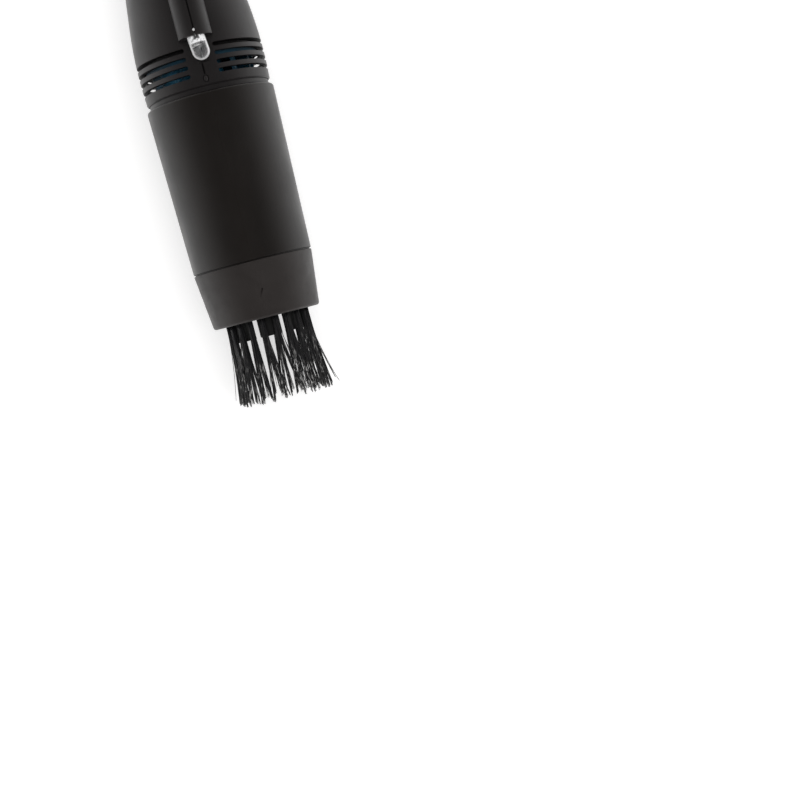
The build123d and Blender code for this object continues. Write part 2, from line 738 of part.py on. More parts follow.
def led_lens():
    """Clear LED body: a flange with a small pip, a round barrel and a domed tip."""
    dome = LED_LENGTH - LED_FLANGE - LED_RADIUS
    outline = Polyline(
        (dome, LED_RADIUS),
        (0, LED_RADIUS),
        (0, LED_FLANGE_RADIUS),
        (-LED_FLANGE, LED_FLANGE_RADIUS),
        (-LED_FLANGE, 0),
        (dome + LED_RADIUS, 0),
    )
    corner = LED_RADIUS * math.sqrt(0.5)
    outline += ThreePointArc((dome + LED_RADIUS, 0), (dome + corner, corner), (dome, LED_RADIUS))
    lens = lamp_place * revolve(Plane.XZ * make_face(outline), Axis.X)
    return lens + lamp_pip(LED_PIP_RADIUS, LED_PIP_HEIGHT)


def led_leads():
    """Two square leads that step down behind the lamp into the hollow of the spine."""
    leads = []
    for side in (-LED_LEAD_PITCH / 2, LED_LEAD_PITCH / 2):
        start = (lamp_place * Pos(-LED_FLANGE - SEAT_GAP, side, 0)).position
        points = (
            (start.X, start.Y, led_axis),
            (led_back - LED_LEAD_RUN, start.Y, led_axis),
            (led_back - LED_LEAD_RUN - LED_LEAD_DROP, side, lead_height),
            (lead_end, side, lead_height),
        )
        path = FilletPolyline(*points, radius=LED_LEAD_BEND)
        end = Plane(origin=points[0], x_dir=(0, 1, 0), z_dir=(-1, 0, 0))
        section = end * Rectangle(LED_LEAD_WIDTH, LED_LEAD_WIDTH)
        leads.append(sweep(section, path=path))
    return group(leads)


def led_resistor():
    """Axial resistor in line with one of the lamp's leads."""
    front = lead_end - SEAT_GAP
    body_front = front - RESISTOR_LEAD
    body_back = body_front - RESISTOR_LENGTH
    bulge = RESISTOR_LENGTH * RESISTOR_BULGE_SHARE
    body = disc(body_back, body_front, RESISTOR_RADIUS * RESISTOR_WAIST_SHARE)
    body += disc(body_front - bulge, body_front, RESISTOR_RADIUS)
    body += disc(body_back, body_back + bulge, RESISTOR_RADIUS)
    body += disc(body_back - RESISTOR_LEAD, front, LED_LEAD_WIDTH / 2)
    return Pos(0, LED_LEAD_PITCH / 2, lead_height) * body


def switch_slider():
    """Ribbed thumb slider, with its neck through the window and a keeper under the spine's roof."""
    half = SLIDER_LENGTH / 2
    bottom = switch_seat + SLIDE_FIT
    top = bottom + SLIDER_HEIGHT
    cap = block(-half, half, -SLIDER_WIDTH / 2, SLIDER_WIDTH / 2, bottom, top)
    cap = fillet(cap.edges().filter_by(Axis.Z), SLIDER_CORNER)
    cap = fillet(cap.faces().sort_by(Axis.Z)[-1].edges(), SLIDER_EDGE)
    pitch = SLIDER_LENGTH * SLIDER_RIBBED_SHARE / SLIDER_RIBS
    for rib in range(SLIDER_RIBS):
        station = (rib - (SLIDER_RIBS - 1) / 2) * pitch
        cap -= Pos(station, 0, top + SLIDER_GROOVE_LIFT) * Rot(X=90) * Cylinder(SLIDER_GROOVE, SLIDER_WIDTH)
    keeper_top = switch_roof - SLIDE_FIT
    keeper_side = SLIDER_WIDTH / 2 - SLIDE_FIT
    neck_half = SLIDER_NECK_LENGTH / 2
    neck_side = SLIDER_NECK_WIDTH / 2
    keeper_low = keeper_top - SLIDER_KEEPER
    neck_low = (keeper_low + keeper_top) / 2
    neck_high = (bottom + top) / 2
    neck = block(-neck_half, neck_half, -neck_side, neck_side, neck_low, neck_high)
    keeper = block(-keeper_half, keeper_half, -keeper_side, keeper_side, keeper_low, keeper_top)
    socket = SWITCH_STEM_WIDTH / 2 + CLOSE_FIT
    pocket = block(-socket, socket, -socket, socket, keeper_low - OVERCUT, stem_top + SEAT_GAP)
    return Pos(switch_rest, 0, 0) * (cap + neck + keeper - pocket)


def switch_stem():
    """Square stem of the switch, with a foot inside the switch body."""
    half = SWITCH_STEM_WIDTH / 2
    foot_top = plate_back - SWITCH_FOOT_DROP
    foot_low = foot_top - SWITCH_FOOT
    foot_half = SWITCH_FOOT_LENGTH / 2
    foot_side = SWITCH_FOOT_WIDTH / 2
    stem = block(-half, half, -half, half, (foot_low + foot_top) / 2, stem_top)
    foot = block(-foot_half, foot_half, -foot_side, foot_side, foot_low, foot_top)
    return Pos(switch_rest, 0, 0) * (stem + foot)


def switch_frame():
    """Steel plate of the switch, with a long slot for the stem."""
    plate = block(
        switch_middle - SWITCH_PLATE_LENGTH / 2,
        switch_middle + SWITCH_PLATE_LENGTH / 2,
        -SWITCH_PLATE_WIDTH / 2,
        SWITCH_PLATE_WIDTH / 2,
        plate_back,
        plate_top,
    )
    slot_half = SWITCH_STEM_WIDTH / 2 + SWITCH_TRAVEL / 2 + SWITCH_SPARE
    side = SWITCH_STEM_WIDTH / 2 + SLIDE_FIT
    slot_back = switch_middle - slot_half
    slot_front = switch_middle + slot_half
    return plate - block(slot_back, slot_front, -side, side, plate_back - OVERCUT, plate_top + OVERCUT)


def switch_body():
    """Insulating body under the plate, hollow where the stem's foot travels."""
    half = SWITCH_BODY_LENGTH / 2
    width = SWITCH_BODY_WIDTH / 2
    top = plate_back - SEAT_GAP
    body = block(switch_middle - half, switch_middle + half, -width, width, pin_top, top)
    hollow_half = SWITCH_FOOT_LENGTH / 2 + SWITCH_TRAVEL / 2 + SWITCH_SPARE
    side = SWITCH_FOOT_WIDTH / 2 + SLIDE_FIT
    floor = plate_back - SWITCH_FOOT_DROP - SWITCH_FOOT - SWITCH_SIDE_FIT
    hollow_back = switch_middle - hollow_half
    hollow_front = switch_middle + hollow_half
    return body - block(hollow_back, hollow_front, -side, side, floor, plate_top)


def switch_pins():
    """Three solder pins under the switch body."""
    half = SWITCH_PIN_WIDTH / 2
    side = SWITCH_PIN_THICKNESS / 2
    top = pin_top - SEAT_GAP
    pins = []
    for step in (-1, 0, 1):
        station = switch_middle + step * SWITCH_PIN_PITCH
        pins.append(block(station - half, station + half, -side, side, pin_bottom, top))
    return group(pins)


def motor_can():
    """Drawn steel can of the motor, open behind, with a bearing boss on its front face."""
    inner = motor_radius - MOTOR_CAN_WALL
    boss_front = motor_front + MOTOR_BOSS_LENGTH
    bore = BUSH_RADIUS + RUNNING_FIT
    can = turned(
        (
            (motor_back, inner),
            (motor_front - MOTOR_CAN_WALL, inner),
            (motor_front - MOTOR_CAN_WALL, bore),
            (boss_front, bore),
            (boss_front, MOTOR_BOSS_RADIUS),
            (motor_front, MOTOR_BOSS_RADIUS),
            (motor_front, motor_radius),
            (motor_back, motor_radius),
        )
    )
    return fillet(rim(can, motor_front, motor_radius), MOTOR_CAN_ROUND)


def motor_end_cap():
    """Moulded end cap of the motor, with its own bearing boss."""
    bore = BUSH_RADIUS + RUNNING_FIT
    return turned(
        (
            (boss_back, bore),
            (motor_back - SEAT_GAP, bore),
            (motor_back - SEAT_GAP, motor_radius),
            (cap_back, motor_radius),
            (cap_back, MOTOR_BOSS_RADIUS),
            (boss_back, MOTOR_BOSS_RADIUS),
        )
    )


def motor_bushes():
    """Sintered bearing bushes, one in the can and one in the end cap."""
    bore = SHAFT_RADIUS + RUNNING_FIT
    front = motor_front + MOTOR_BOSS_LENGTH
    front_bush = ring(front - BUSH_LENGTH, front, bore, BUSH_RADIUS)
    rear_bush = ring(boss_back, boss_back + BUSH_LENGTH, bore, BUSH_RADIUS)
    return group([front_bush, rear_bush])


def motor_magnets():
    """Two curved magnets against the can's inner wall."""
    middle = (motor_front + motor_back) / 2
    outer = motor_radius - MOTOR_CAN_WALL - SEAT_GAP
    half = MAGNET_SHARE * MOTOR_LENGTH / 2
    magnet = ring(middle - half, middle + half, outer - MAGNET_THICKNESS, outer, MAGNET_ARC)
    return group(around(magnet, 2, -MAGNET_ARC / 2))


def motor_shaft():
    """Steel shaft from the rear bush to the fan's hub."""
    return disc(boss_back - SHAFT_STUB, blade_front - FAN_HUB_SETBACK - SHAFT_STUB, SHAFT_RADIUS)


def armature_core():
    """Three-pole stack: a core, narrow necks and broad pole shoes."""
    shoe_arc = 360.0 / ARMATURE_POLES - SHOE_GAP_ARC
    shoe = ring(armature_back, armature_front, shoe_inner, armature_radius, shoe_arc)
    shoe = Rot(X=-shoe_arc / 2) * shoe
    half = pole_neck_half
    shoe_middle = (shoe_inner + armature_radius) / 2
    neck = block(armature_back, armature_front, -half, half, 0, shoe_middle)
    core = disc(armature_back, armature_front, core_radius)
    for pole in around(shoe + neck, ARMATURE_POLES):
        core += pole
    bore = SHAFT_RADIUS + RUNNING_FIT
    return core - disc(armature_back - OVERCUT, armature_front + OVERCUT, bore)


def armature_windings():
    """One coil round the neck of each pole."""
    back = armature_back - SEAT_GAP
    front = armature_front + SEAT_GAP
    neck = pole_neck_half + SEAT_GAP
    high = math.sqrt(shoe_inner**2 - coil_half**2) - 2 * SEAT_GAP
    coil = block(armature_back - COIL_END, armature_front + COIL_END, -coil_half, coil_half, coil_low, high)
    coil = fillet(coil.edges().filter_by(Axis.Z), COIL_ROUND_SHARE * coil_half)
    coil -= block(back, front, -neck, neck, coil_low - OVERCUT, high + OVERCUT)
    return group(around(coil, ARMATURE_POLES))


def commutator():
    """Commutator on the shaft, split by three narrow grooves."""
    front = commutator_front
    back = front - COMMUTATOR_LENGTH
    low = COMMUTATOR_RADIUS - COMMUTATOR_GROOVE_DEPTH
    drum = ring(back, front, SHAFT_RADIUS + RUNNING_FIT, COMMUTATOR_RADIUS)
    half = COMMUTATOR_GROOVE / 2
    groove = block(back - OVERCUT, front + OVERCUT, -half, half, low, COMMUTATOR_RADIUS + OVERCUT)
    return drum - around(groove, ARMATURE_POLES, 180.0 / ARMATURE_POLES)


def motor_brushes():
    """Two brush arms that stand on the end cap and rest beside the commutator."""
    middle = commutator_front - COMMUTATOR_LENGTH / 2
    tip = COMMUTATOR_RADIUS + RUNNING_FIT
    back = middle - CARBON_LENGTH / 2
    front = middle + CARBON_LENGTH / 2
    arm_low = tip + CARBON_DEPTH - ARM_THICKNESS / 3
    arm_high = arm_low + ARM_THICKNESS
    arm = block(motor_back, front, arm_low, arm_high, -ARM_WIDTH / 2, ARM_WIDTH / 2)
    carbon = block(back, front, tip, tip + CARBON_DEPTH, -CARBON_WIDTH / 2, CARBON_WIDTH / 2)
    brush = arm + carbon
    return group([brush, Rot(X=180) * brush])


def motor_terminals():
    """Two flat solder tabs on the back of the end cap."""
    low = terminal_offset - TERMINAL_WIDTH / 2
    high = terminal_offset + TERMINAL_WIDTH / 2
    thick = TERMINAL_THICKNESS / 2
    tab = block(terminal_end, cap_back - SEAT_GAP, low, high, -thick, thick)
    return group([tab, Rot(X=180) * tab])


def suppression_capacitor():
    """Disc capacitor behind the motor, with a lead to each solder tab."""
    front = boss_back - CAPACITOR_GAP
    body = disc(front - CAPACITOR_THICKNESS, front, CAPACITOR_RADIUS)
    body = fillet(body.edges(), CAPACITOR_THICKNESS * CAPACITOR_ROUND_SHARE)
    middle = front - CAPACITOR_THICKNESS / 2
    inner_end = terminal_offset - TERMINAL_WIDTH / 2 - SEAT_GAP
    station = terminal_end + TERMINAL_EYE
    for side in (-1, 1):
        points = (
            (middle, side * CAPACITOR_RADIUS * CAPACITOR_LEAD_ROOT_SHARE, 0),
            (middle, side * (CAPACITOR_RADIUS + CAPACITOR_LEAD_RUN), 0),
            (station, side * (inner_end - CAPACITOR_LEAD_RUN), 0),
            (station, side * inner_end, 0),
        )
        body += lead(points, CAPACITOR_LEAD_RADIUS, CAPACITOR_LEAD_BEND)
    return body


def lead(points, radius, bend):
    """A round wire along straight runs with an arc at each corner."""
    path = FilletPolyline(*points, radius=bend)
    section = Plane(origin=points[0], z_dir=Vector(*points[1]) - Vector(*points[0])) * Circle(radius)
    return sweep(section, path=path)


def fan_wheel():
    """Centrifugal fan: a hub, swept blades and a back disc that reaches past them, close to the housing."""
    inner = FAN_HUB_RADIUS + FAN_BLADE_START
    outer = fan_radius
    sweep_angle = math.radians(FAN_BLADE_SWEEP)
    flanks = []
    for side in (-1, 1):
        flank = []
        for share in (0.0, 0.5, 1.0):
            radius = inner + (outer - inner) * share
            angle = sweep_angle * share + side * FAN_BLADE_THICKNESS / 2 / radius
            flank.append((radius * math.cos(angle), radius * math.sin(angle)))
        flanks.append(flank)
    near, far = flanks
    outline = ThreePointArc(*near) + ThreePointArc(*far)
    outline += [Line(near[0], far[0]), Line(near[2], far[2])]
    root = Plane(origin=(disc_front - FAN_BLADE_ROOT, 0, 0), x_dir=(0, 1, 0), z_dir=(1, 0, 0))
    blade = extrude(root * make_face(outline), FAN_BLADE_HEIGHT + FAN_BLADE_ROOT)
    wheel = disc(disc_back, disc_front, fan_disc_radius)
    wheel += disc(hub_back, blade_front - FAN_HUB_SETBACK, FAN_HUB_RADIUS)
    wheel += around(blade, FAN_BLADES)
    return wheel - disc(hub_back - OVERCUT, blade_front + OVERCUT, SHAFT_RADIUS + RUNNING_FIT)


def inlet_plate():
    """Plate in front of the fan, with an eye guarded by spokes and a hub."""
    plate = ring(inlet_back, inlet_front, inlet_eye, inlet_radius)
    half = INLET_SPOKE_WIDTH / 2
    spoke = block(inlet_back, inlet_front, -half, half, 0, inlet_eye + INLET_SPOKE_BITE)
    plate += around(spoke, INLET_SPOKES)
    return plate + disc(inlet_back, inlet_front, INLET_HUB_RADIUS)


def filter_stations():
    """Back of the plug, back and front of the flange, and front of the cage."""
    flange_back = NOSE_LENGTH + SEAT_GAP
    flange_front = flange_back + FILTER_FLANGE
    return NOSE_LENGTH - FILTER_PLUG_LENGTH, flange_back, flange_front, flange_front + FILTER_LENGTH


def filter_frame():
    """Filter frame: a plug for the nose, a flange, and ribs that carry a ring at the front."""
    plug_back, flange_back, flange_front, cage_front = filter_stations()
    outer = nose_bore - SLIDE_FIT
    inner = outer - FILTER_PLUG_WALL
    flange_radius = nose_radius - FILTER_FLANGE_STEP
    frame = turned(
        (
            (plug_back, inner),
            (flange_front, inner),
            (flange_front, flange_radius),
            (flange_back, flange_radius),
            (flange_back, outer),
            (plug_back, outer),
        )
    )
    tip_outer = filter_tip - FILTER_CLOTH - SEAT_GAP
    rib_back = flange_front - FILTER_FLANGE / 4
    rib_front = cage_front - FILTER_RING / 3
    rib = turned(
        (
            (rib_back, inner),
            (rib_back, inner + FILTER_BAR),
            (rib_front, tip_outer),
            (rib_front, tip_outer - FILTER_BAR),
        ),
        FILTER_RIB_ARC,
    )
    frame += around(rib, FILTER_RIBS)
    return frame + ring(cage_front - FILTER_RING, cage_front, tip_outer - FILTER_RING_WALL, tip_outer)


def filter_cloth():
    """Cloth pocket drawn over the cage, closed at the front and open to the fan behind."""
    flange_front, cage_front = filter_stations()[2:]
    root = nose_bore - SLIDE_FIT - FILTER_PLUG_WALL + FILTER_BAR + 2 * SEAT_GAP + FILTER_CLOTH
    back = flange_front + SEAT_GAP
    return turned(
        (
            (back, root - FILTER_CLOTH),
            (back, root),
            (cage_front + FILTER_CLOTH, filter_tip),
            (cage_front + SEAT_GAP + FILTER_CLOTH, 0),
            (cage_front + SEAT_GAP, 0),
            (cage_front + SEAT_GAP, filter_tip - FILTER_CLOTH),
        )
    )


def cup_radius(station):
    """Outer radius of the dust cup at a station ahead of its rim."""
    share = (station - CUP_RIM_LAND) / (CUP_LENGTH - CUP_RIM_LAND)
    return cup_rear_radius + (cup_front_radius - cup_rear_radius) * share


def dust_cup():
    """Tapered cup with a straight socket behind and a nozzle for the brush in front."""
    socket = nose_radius + SLIDE_FIT
    socket_end = NOSE_LENGTH + CUP_SOCKET_SPARE
    ramp_end = socket_end + CUP_SOCKET_RAMP
    inner_front = CUP_LENGTH - CUP_WALL
    cup = turned(
        (
            (0, socket),
            (socket_end, socket),
            (ramp_end, cup_radius(ramp_end) - CUP_WALL),
            (inner_front, cup_radius(inner_front) - CUP_WALL),
            (inner_front, nozzle_bore),
            (nozzle_end, nozzle_bore),
            (nozzle_end, nozzle_radius),
            (cap_rear - SEAT_GAP, nozzle_radius),
            (cap_rear - SEAT_GAP, cup_front_radius - CUP_GROOVE_DEPTH),
            (cup_front, cup_front_radius - CUP_GROOVE_DEPTH),
            (cup_front, cup_front_radius),
            (CUP_RIM_LAND, cup_rear_radius),
            (0, cup_rear_radius),
        )
    )
    cup = fillet(rim(cup, 0, cup_rear_radius), CUP_RIM_ROUND)
    cup = fillet(rim(cup, cup_front, cup_front_radius), CUP_EDGE_ROUND)
    return chamfer(rim(cup, nozzle_end, nozzle_radius), NOZZLE_BEVEL)


def brush_cap():
    """Soft cap that carries the tuft holder and pushes over the cup's nozzle."""
    step = holder_back + HOLDER_FLANGE_THICKNESS + SEAT_GAP
    cap = turned(
        (
            (cap_rear, cap_socket),
            (step, cap_socket),
            (step, cap_bore),
            (cap_front, cap_bore),
            (cap_front, cap_front_radius),
            (cap_rear, cup_front_radius),
        )
    )
    cap = fillet(rim(cap, cap_front, cap_front_radius), CAP_ROUND)
    cap = fillet(rim(cap, cap_rear, cup_front_radius), CUP_EDGE_ROUND)
    tick_station = cap_rear + CAP_LENGTH * TICK_PLACE
    tick_radius = cup_front_radius + (cap_front_radius - cup_front_radius) * TICK_PLACE
    tick = Rot(Z=TICK_ANGLE) * Box(TICK_LENGTH, TICK_WIDTH, 2 * TICK_DEPTH)
    return cap - Pos(tick_station, 0, tick_radius) * tick


def tuft_holder():
    """Holder inside the cap: a thick plate with a rear flange, and a skirt cut into castellations."""
    holder = turned(
        (
            (holder_back, holder_bore),
            (pad_front + HOLDER_REACH, holder_bore),
            (pad_front + HOLDER_REACH, holder_skirt),
            (holder_front, holder_skirt),
            (holder_front, holder_radius),
            (holder_back + HOLDER_FLANGE_THICKNESS, holder_radius),
            (holder_back + HOLDER_FLANGE_THICKNESS, holder_flange),
            (holder_back, holder_flange),
        )
    )
    half = HOLDER_SLOT_WIDTH / 2
    slot_end = pad_front + HOLDER_REACH + OVERCUT
    low = holder_bore - OVERCUT
    high = holder_skirt + OVERCUT
    slot = block(pad_front + HOLDER_SLOT_START, slot_end, -half, half, low, high)
    return holder - around(slot, HOLDER_SLOTS, 180.0 / HOLDER_SLOTS)


def tuft_grid():
    """Strand places in one tuft: one in the middle and two rounds about it, as shares of its radius."""
    places = [(0.0, 0.0)]
    for count, share in TUFT_ROUNDS:
        for step in range(count):
            angle = 2 * math.pi * step / count
            places.append((share * math.cos(angle), share * math.sin(angle)))
    return places


def tuft_strands(angle):
    """Straight strands of one tuft, leaning outward and spreading evenly from root to tip."""
    root = pad_front - BRISTLE_ROOT
    strands = []
    for number, (across, out) in enumerate(tuft_grid()):
        trim = BRISTLE_TRIM * (number * TRIM_STRIDE % TRIM_STEPS) / (TRIM_STEPS - 1)
        reach = bristle_tip - root - trim
        y = across * TUFT_RADIUS
        z = tuft_ring + out * TUFT_RADIUS
        lean = BRISTLE_LEAN + (TUFT_SPREAD - 1) * out * TUFT_RADIUS
        place = Plane(origin=(root, y, z), x_dir=(0, 1, 0), z_dir=(1, 0, 0))
        section = place * RegularPolygon(BRISTLE_WIDTH / 2, 3)
        strand = Solid.extrude(section.face(), (reach, (TUFT_SPREAD - 1) * y, lean))
        strands.append(Rot(X=angle) * strand)
    return strands


def bristles(sector):
    """One sector of the brush: a slice of the pad with its tufts, joined in one go."""
    width = 360.0 / TUFT_SECTORS
    gap = TUFT_SECTOR_GAP
    pad = ring(pad_back, pad_front, holder_skirt + SEAT_GAP, holder_radius, width - gap)
    pad = Rot(X=sector * width + gap / 2) * pad
    pitch = 360.0 / TUFTS
    strands = []
    for tuft in range(TUFTS // TUFT_SECTORS):
        strands += tuft_strands(sector * width + (tuft + 0.5) * pitch)
    return pad.fuse(*strands)


def wire(points):
    """An insulated wire whose corners take the largest arcs that their runs allow."""
    corners = [Vector(*point) for point in points]
    bends = []
    for before, corner, after in zip(corners, corners[1:], corners[2:]):
        turn = math.radians((corner - before).get_angle(after - corner))
        run = min((corner - before).length, (after - corner).length)
        largest = run / math.tan(max(turn, WIRE_STRAIGHT) / 2)
        bends.append(max(WIRE_BEND, WIRE_BEND_SHARE * largest))
    return lead(points, WIRE_RADIUS, bends)


def over_motor(start, side):
    """Route of a lamp wire from its lead, over the motor and down behind the end cap, a little outward."""
    spread = math.copysign(WIRE_SPREAD, side)
    return [
        (start - SEAT_GAP, side, lead_height),
        (start - WIRE_RUN, side, lead_height - WIRE_SAG),
        (motor_back + WIRE_TURN, side, motor_radius + WIRE_OVER_MOTOR),
        (cap_back - WIRE_BEHIND_CAP / 3, side + spread / 2, motor_radius + WIRE_OVER_CAP),
        (cap_back - WIRE_BEHIND_CAP, side + spread, motor_radius - WIRE_SPREAD),
    ]


def led_live_wire():
    """Wire from the resistor, over the motor and down to the switch's front pin."""
    route = over_motor(resistor_end, LED_LEAD_PITCH / 2)
    station, side = route[-1][:2]
    height = pin_bottom + WIRE_RADIUS + 2 * SEAT_GAP
    route += [
        (station - WIRE_BEHIND_CAP / 3, side, height + WIRE_TURN),
        (front_pin + WIRE_RUN, 0, height),
        (front_pin + SWITCH_PIN_WIDTH / 2 + SEAT_GAP, 0, height),
    ]
    return wire(route)


def led_return_wire():
    """Wire from the lamp's other lead, over the motor and down to the right-hand tab."""
    route = over_motor(lead_end, -LED_LEAD_PITCH / 2)
    station = route[-1][0]
    route += [
        (station - WIRE_SPREAD, -terminal_offset, WIRE_RUN + WIRE_RADIUS),
        (terminal_end + WIRE_BEHIND_CAP / 3, -terminal_offset, WIRE_SPREAD),
    ]
    return wire(route)


def motor_live_wire():
    """Wire from the switch's front pin to the left-hand tab."""
    height = pin_top - WIRE_RADIUS - WIRE_FIT
    return wire(
        (
            (terminal_end - SEAT_GAP, terminal_offset, 0),
            (terminal_end - WIRE_TAB_RUN, terminal_offset, 0),
            (front_pin + WIRE_FIT, terminal_offset - WIRE_SPREAD, height),
            (front_pin, terminal_offset - WIRE_RUN, height),
            (front_pin, SWITCH_PIN_THICKNESS / 2 + SEAT_GAP, height),
        )
    )


os.makedirs("parts", exist_ok=True)
shell = housing()
save("housing_left", housing_half(shell, 1))
save("housing_right", housing_half(shell, -1))
save("housing_screws", housing_screws())
save("cord_gland", cord_gland())
save("led_lens", led_lens())
save("led_leads", led_leads())
save("led_resistor", led_resistor())
save("switch_slider", switch_slider())
save("switch_stem", switch_stem())
save("switch_frame", switch_frame())
save("switch_body", switch_body())
save("switch_pins", switch_pins())
save("motor_can", motor_can())
save("motor_end_cap", motor_end_cap())
save("motor_bushes", motor_bushes())
save("motor_magnets", motor_magnets())
save("motor_shaft", motor_shaft())
save("armature_core", armature_core())
save("armature_windings", armature_windings())
save("commutator", commutator())
save("motor_brushes", motor_brushes())
save("motor_terminals", motor_terminals())
save("suppression_capacitor", suppression_capacitor())
save("fan_wheel", fan_wheel())
save("inlet_plate", inlet_plate())
save("filter_frame", filter_frame())
save("filter_cloth", filter_cloth())
save("dust_cup", dust_cup())
save("brush_cap", brush_cap())
save("tuft_holder", tuft_holder())
for sector in range(TUFT_SECTORS):
    save(f"bristles_{sector + 1}", bristles(sector))
save("led_live_wire", led_live_wire())
save("led_return_wire", led_return_wire())
save("motor_live_wire", motor_live_wire())
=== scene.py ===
import math
import random

import bpy
from mathutils import Matrix, Vector

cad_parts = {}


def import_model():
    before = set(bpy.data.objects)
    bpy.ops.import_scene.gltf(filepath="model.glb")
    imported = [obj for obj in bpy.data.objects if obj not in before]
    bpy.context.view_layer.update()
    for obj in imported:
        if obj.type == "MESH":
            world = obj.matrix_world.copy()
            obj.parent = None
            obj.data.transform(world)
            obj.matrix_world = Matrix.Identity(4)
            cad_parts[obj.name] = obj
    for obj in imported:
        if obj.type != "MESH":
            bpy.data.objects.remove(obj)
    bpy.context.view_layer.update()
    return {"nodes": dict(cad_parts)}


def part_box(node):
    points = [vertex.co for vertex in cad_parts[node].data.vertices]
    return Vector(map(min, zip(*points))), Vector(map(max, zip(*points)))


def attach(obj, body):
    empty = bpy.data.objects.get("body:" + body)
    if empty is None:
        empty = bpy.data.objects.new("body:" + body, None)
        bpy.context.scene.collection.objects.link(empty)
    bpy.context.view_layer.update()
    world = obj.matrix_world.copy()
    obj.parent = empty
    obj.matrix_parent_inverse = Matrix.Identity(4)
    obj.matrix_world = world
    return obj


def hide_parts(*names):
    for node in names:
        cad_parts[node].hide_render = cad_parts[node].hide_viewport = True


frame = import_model()
nodes = frame["nodes"]

# The tool's own frame, as in the CAD: stations run along the axis from the dust cup's rear rim.
# Lengths are in millimetres and angles in degrees, except where a heading says otherwise.
MM = 0.001
STATION_SHIFT = 3.3
AXIS_HEIGHT = 18.75

# Lamp
LED_SEAT = -15.8
LED_HEIGHT = 20.45
LED_TILT = 5.5
LED_RADIUS = 2.5
LED_FLANGE_RADIUS = 2.9
LED_FLANGE = 1.0
LED_LENGTH = 8.6
LED_EDGE_ROUND = 0.12
LED_FILLET = 0.1
LED_FLAT_MARGIN = 0.05
LED_SEGMENTS = 96
LED_DOME_STEPS = 20
LED_DOME_END = 0.5
LED_AXIS_GAP = 0.02
LED_PIP_RADIUS = 0.38
LED_PIP_HEIGHT = 0.45
PIP_DEPTH = 0.2
PIP_STEPS = 6
PIP_AXIS_GAP = 0.01
SMALL_SEGMENTS = 32
LEAD_PITCH = 2.54
POST_HALF = 0.25
POST_INSET = 0.05
BAR_BACK = 2.1
BAR_FRONT = 2.75
BAR_REACH = 1.8
BAR_GAP_LEFT = 0.35
BAR_GAP_RIGHT = 0.6
BAR_HALF = 0.3
DISH_ASIDE = -0.6
DISH_BACK = 2.7
DISH_NECK_RADIUS = 0.75
DISH_WIDEST = 3.2
DISH_RADIUS = 0.95
DISH_FRONT = 3.4
DISH_LIP_RADIUS = 0.8
DISH_FLOOR = 3.0
DISH_FLOOR_RADIUS = 0.4
# Where the painted highlight round the lead frame lies, along the lamp's axis and out to its sides
PAINTED_BAR_START = 1.75
PAINTED_BAR_FULL = 2.1
PAINTED_GLOW_FADE = 2.75
PAINTED_GLOW_END = 3.0
PAINTED_SIDE_INNER = 0.6
PAINTED_SIDE_OUTER = 1.0

# Brush
TUFTS = 20
SECTORS = 5
TUFT_RING = 11.8
PAD_INNER = 10.75
PAD_OUTER = 13.3
PAD_BACK = 63.5
PAD_FRONT = 64.7
PAD_ROUND = 0.15
PAD_SEGMENTS = 18
SECTOR_GAP = 0.3
BRISTLE_TIP = 89.8
STRANDS = 40
LOCKS = 5
STRAND_RADIUS = 0.1
STRAND_RANGE = (0.85, 1.15)
STRAND_SIDES = 5
STRAND_STEPS = 9
STRAND_TAPER = 0.35
STRAND_BURIED = 0.4
STRAND_BEND = 1.7
STRAND_SCATTER = 0.17
STRAND_CURL = 0.4
NECK_RADIUS = 0.6
TIP_RADIUS = 3.7
TIP_LEAN = 1.0
TIP_MARGIN = 0.1
TIP_WEAR = 0.5
LOCK_TURN = (0.2, 0.8)
LOCK_REACH = (0.3, 1.0)
LOCK_LEAN = 0.35
LOCK_WEAR = 0.9
STRAY_SHARE = 0.1
STRAY_SPREAD = 1.6
STRAY_REACH = 4.5
STRAY_INWARD = 0.4
STRAY_SHORTER = 2.0
# Where the painted highlights on the filaments begin, past the backing, and their colour
PAINTED_GLINT_START = 6.0
PAINTED_GLINT_COLOUR = (0.75, 0.74, 0.73)
BRUSH_SEED = 40

# Filter cloth
CLOTH_BACK = 9.3
CLOTH_FRONT = 24.3
CLOTH_ROOT_RADIUS = 15.6
CLOTH_TIP_RADIUS = 11.3
CLOTH_THICKNESS = 0.45
CLOTH_FACE = 0.5
CLOTH_FACE_SHARES = (0.94, 0.75, 0.55, 0.35, 0.15, 0.005)
CLOTH_ROWS = 16
CLOTH_SEGMENTS = 144
CLOTH_DIP = 0.45
CLOTH_PUCKER = 0.12
CLOTH_GATHERS = 24
CLOTH_RIPPLE = 1.5
CAGE_RIBS = 6

# Painted crevice shade: how far away a wall still darkens a surface's colour, in metres, and how dark the
# painted shade gets
CREVICE_REACH = 0.0018
FAN_CREVICE_REACH = 0.004
PAINTED_CREVICE_SHADE = 0.15

# Floor, surroundings and studio light, in metres and watts
FLOOR_COLOUR = (0.66, 0.66, 0.66, 1.0)
FLOOR_ROUGHNESS = 0.9
FLOOR_LIFT = 0.55
FLOOR_HALF = 3.0
SKY_STOPS = ((0.0, 1.0), (0.25, 0.7), (0.5, 0.4), (0.75, 0.16), (1.0, 0.06))
SKY_TINT = (1.0, 0.972, 0.962)
KEY_PLACE = (0.03, 0.15, 1.2)
KEY_TARGET = (0.03, 0.0, 0.0)
KEY_SIZE = 1.2
KEY_POWER = 13.0

# Camera, found by fitting the tool's outline, vent slots and edges to the photograph: its place in metres
# and its lens and sensor in millimetres
CAMERA_PLACE = (0.06867, -0.00716, 0.49841)
CAMERA_NEAR = 0.01
CAMERA_RIGHT = (0.246134, 0.964492, 0.095774)
CAMERA_UP = (-0.966758, 0.251363, -0.046849)
CAMERA_LENS = 73.2
CAMERA_SENSOR = 36.0


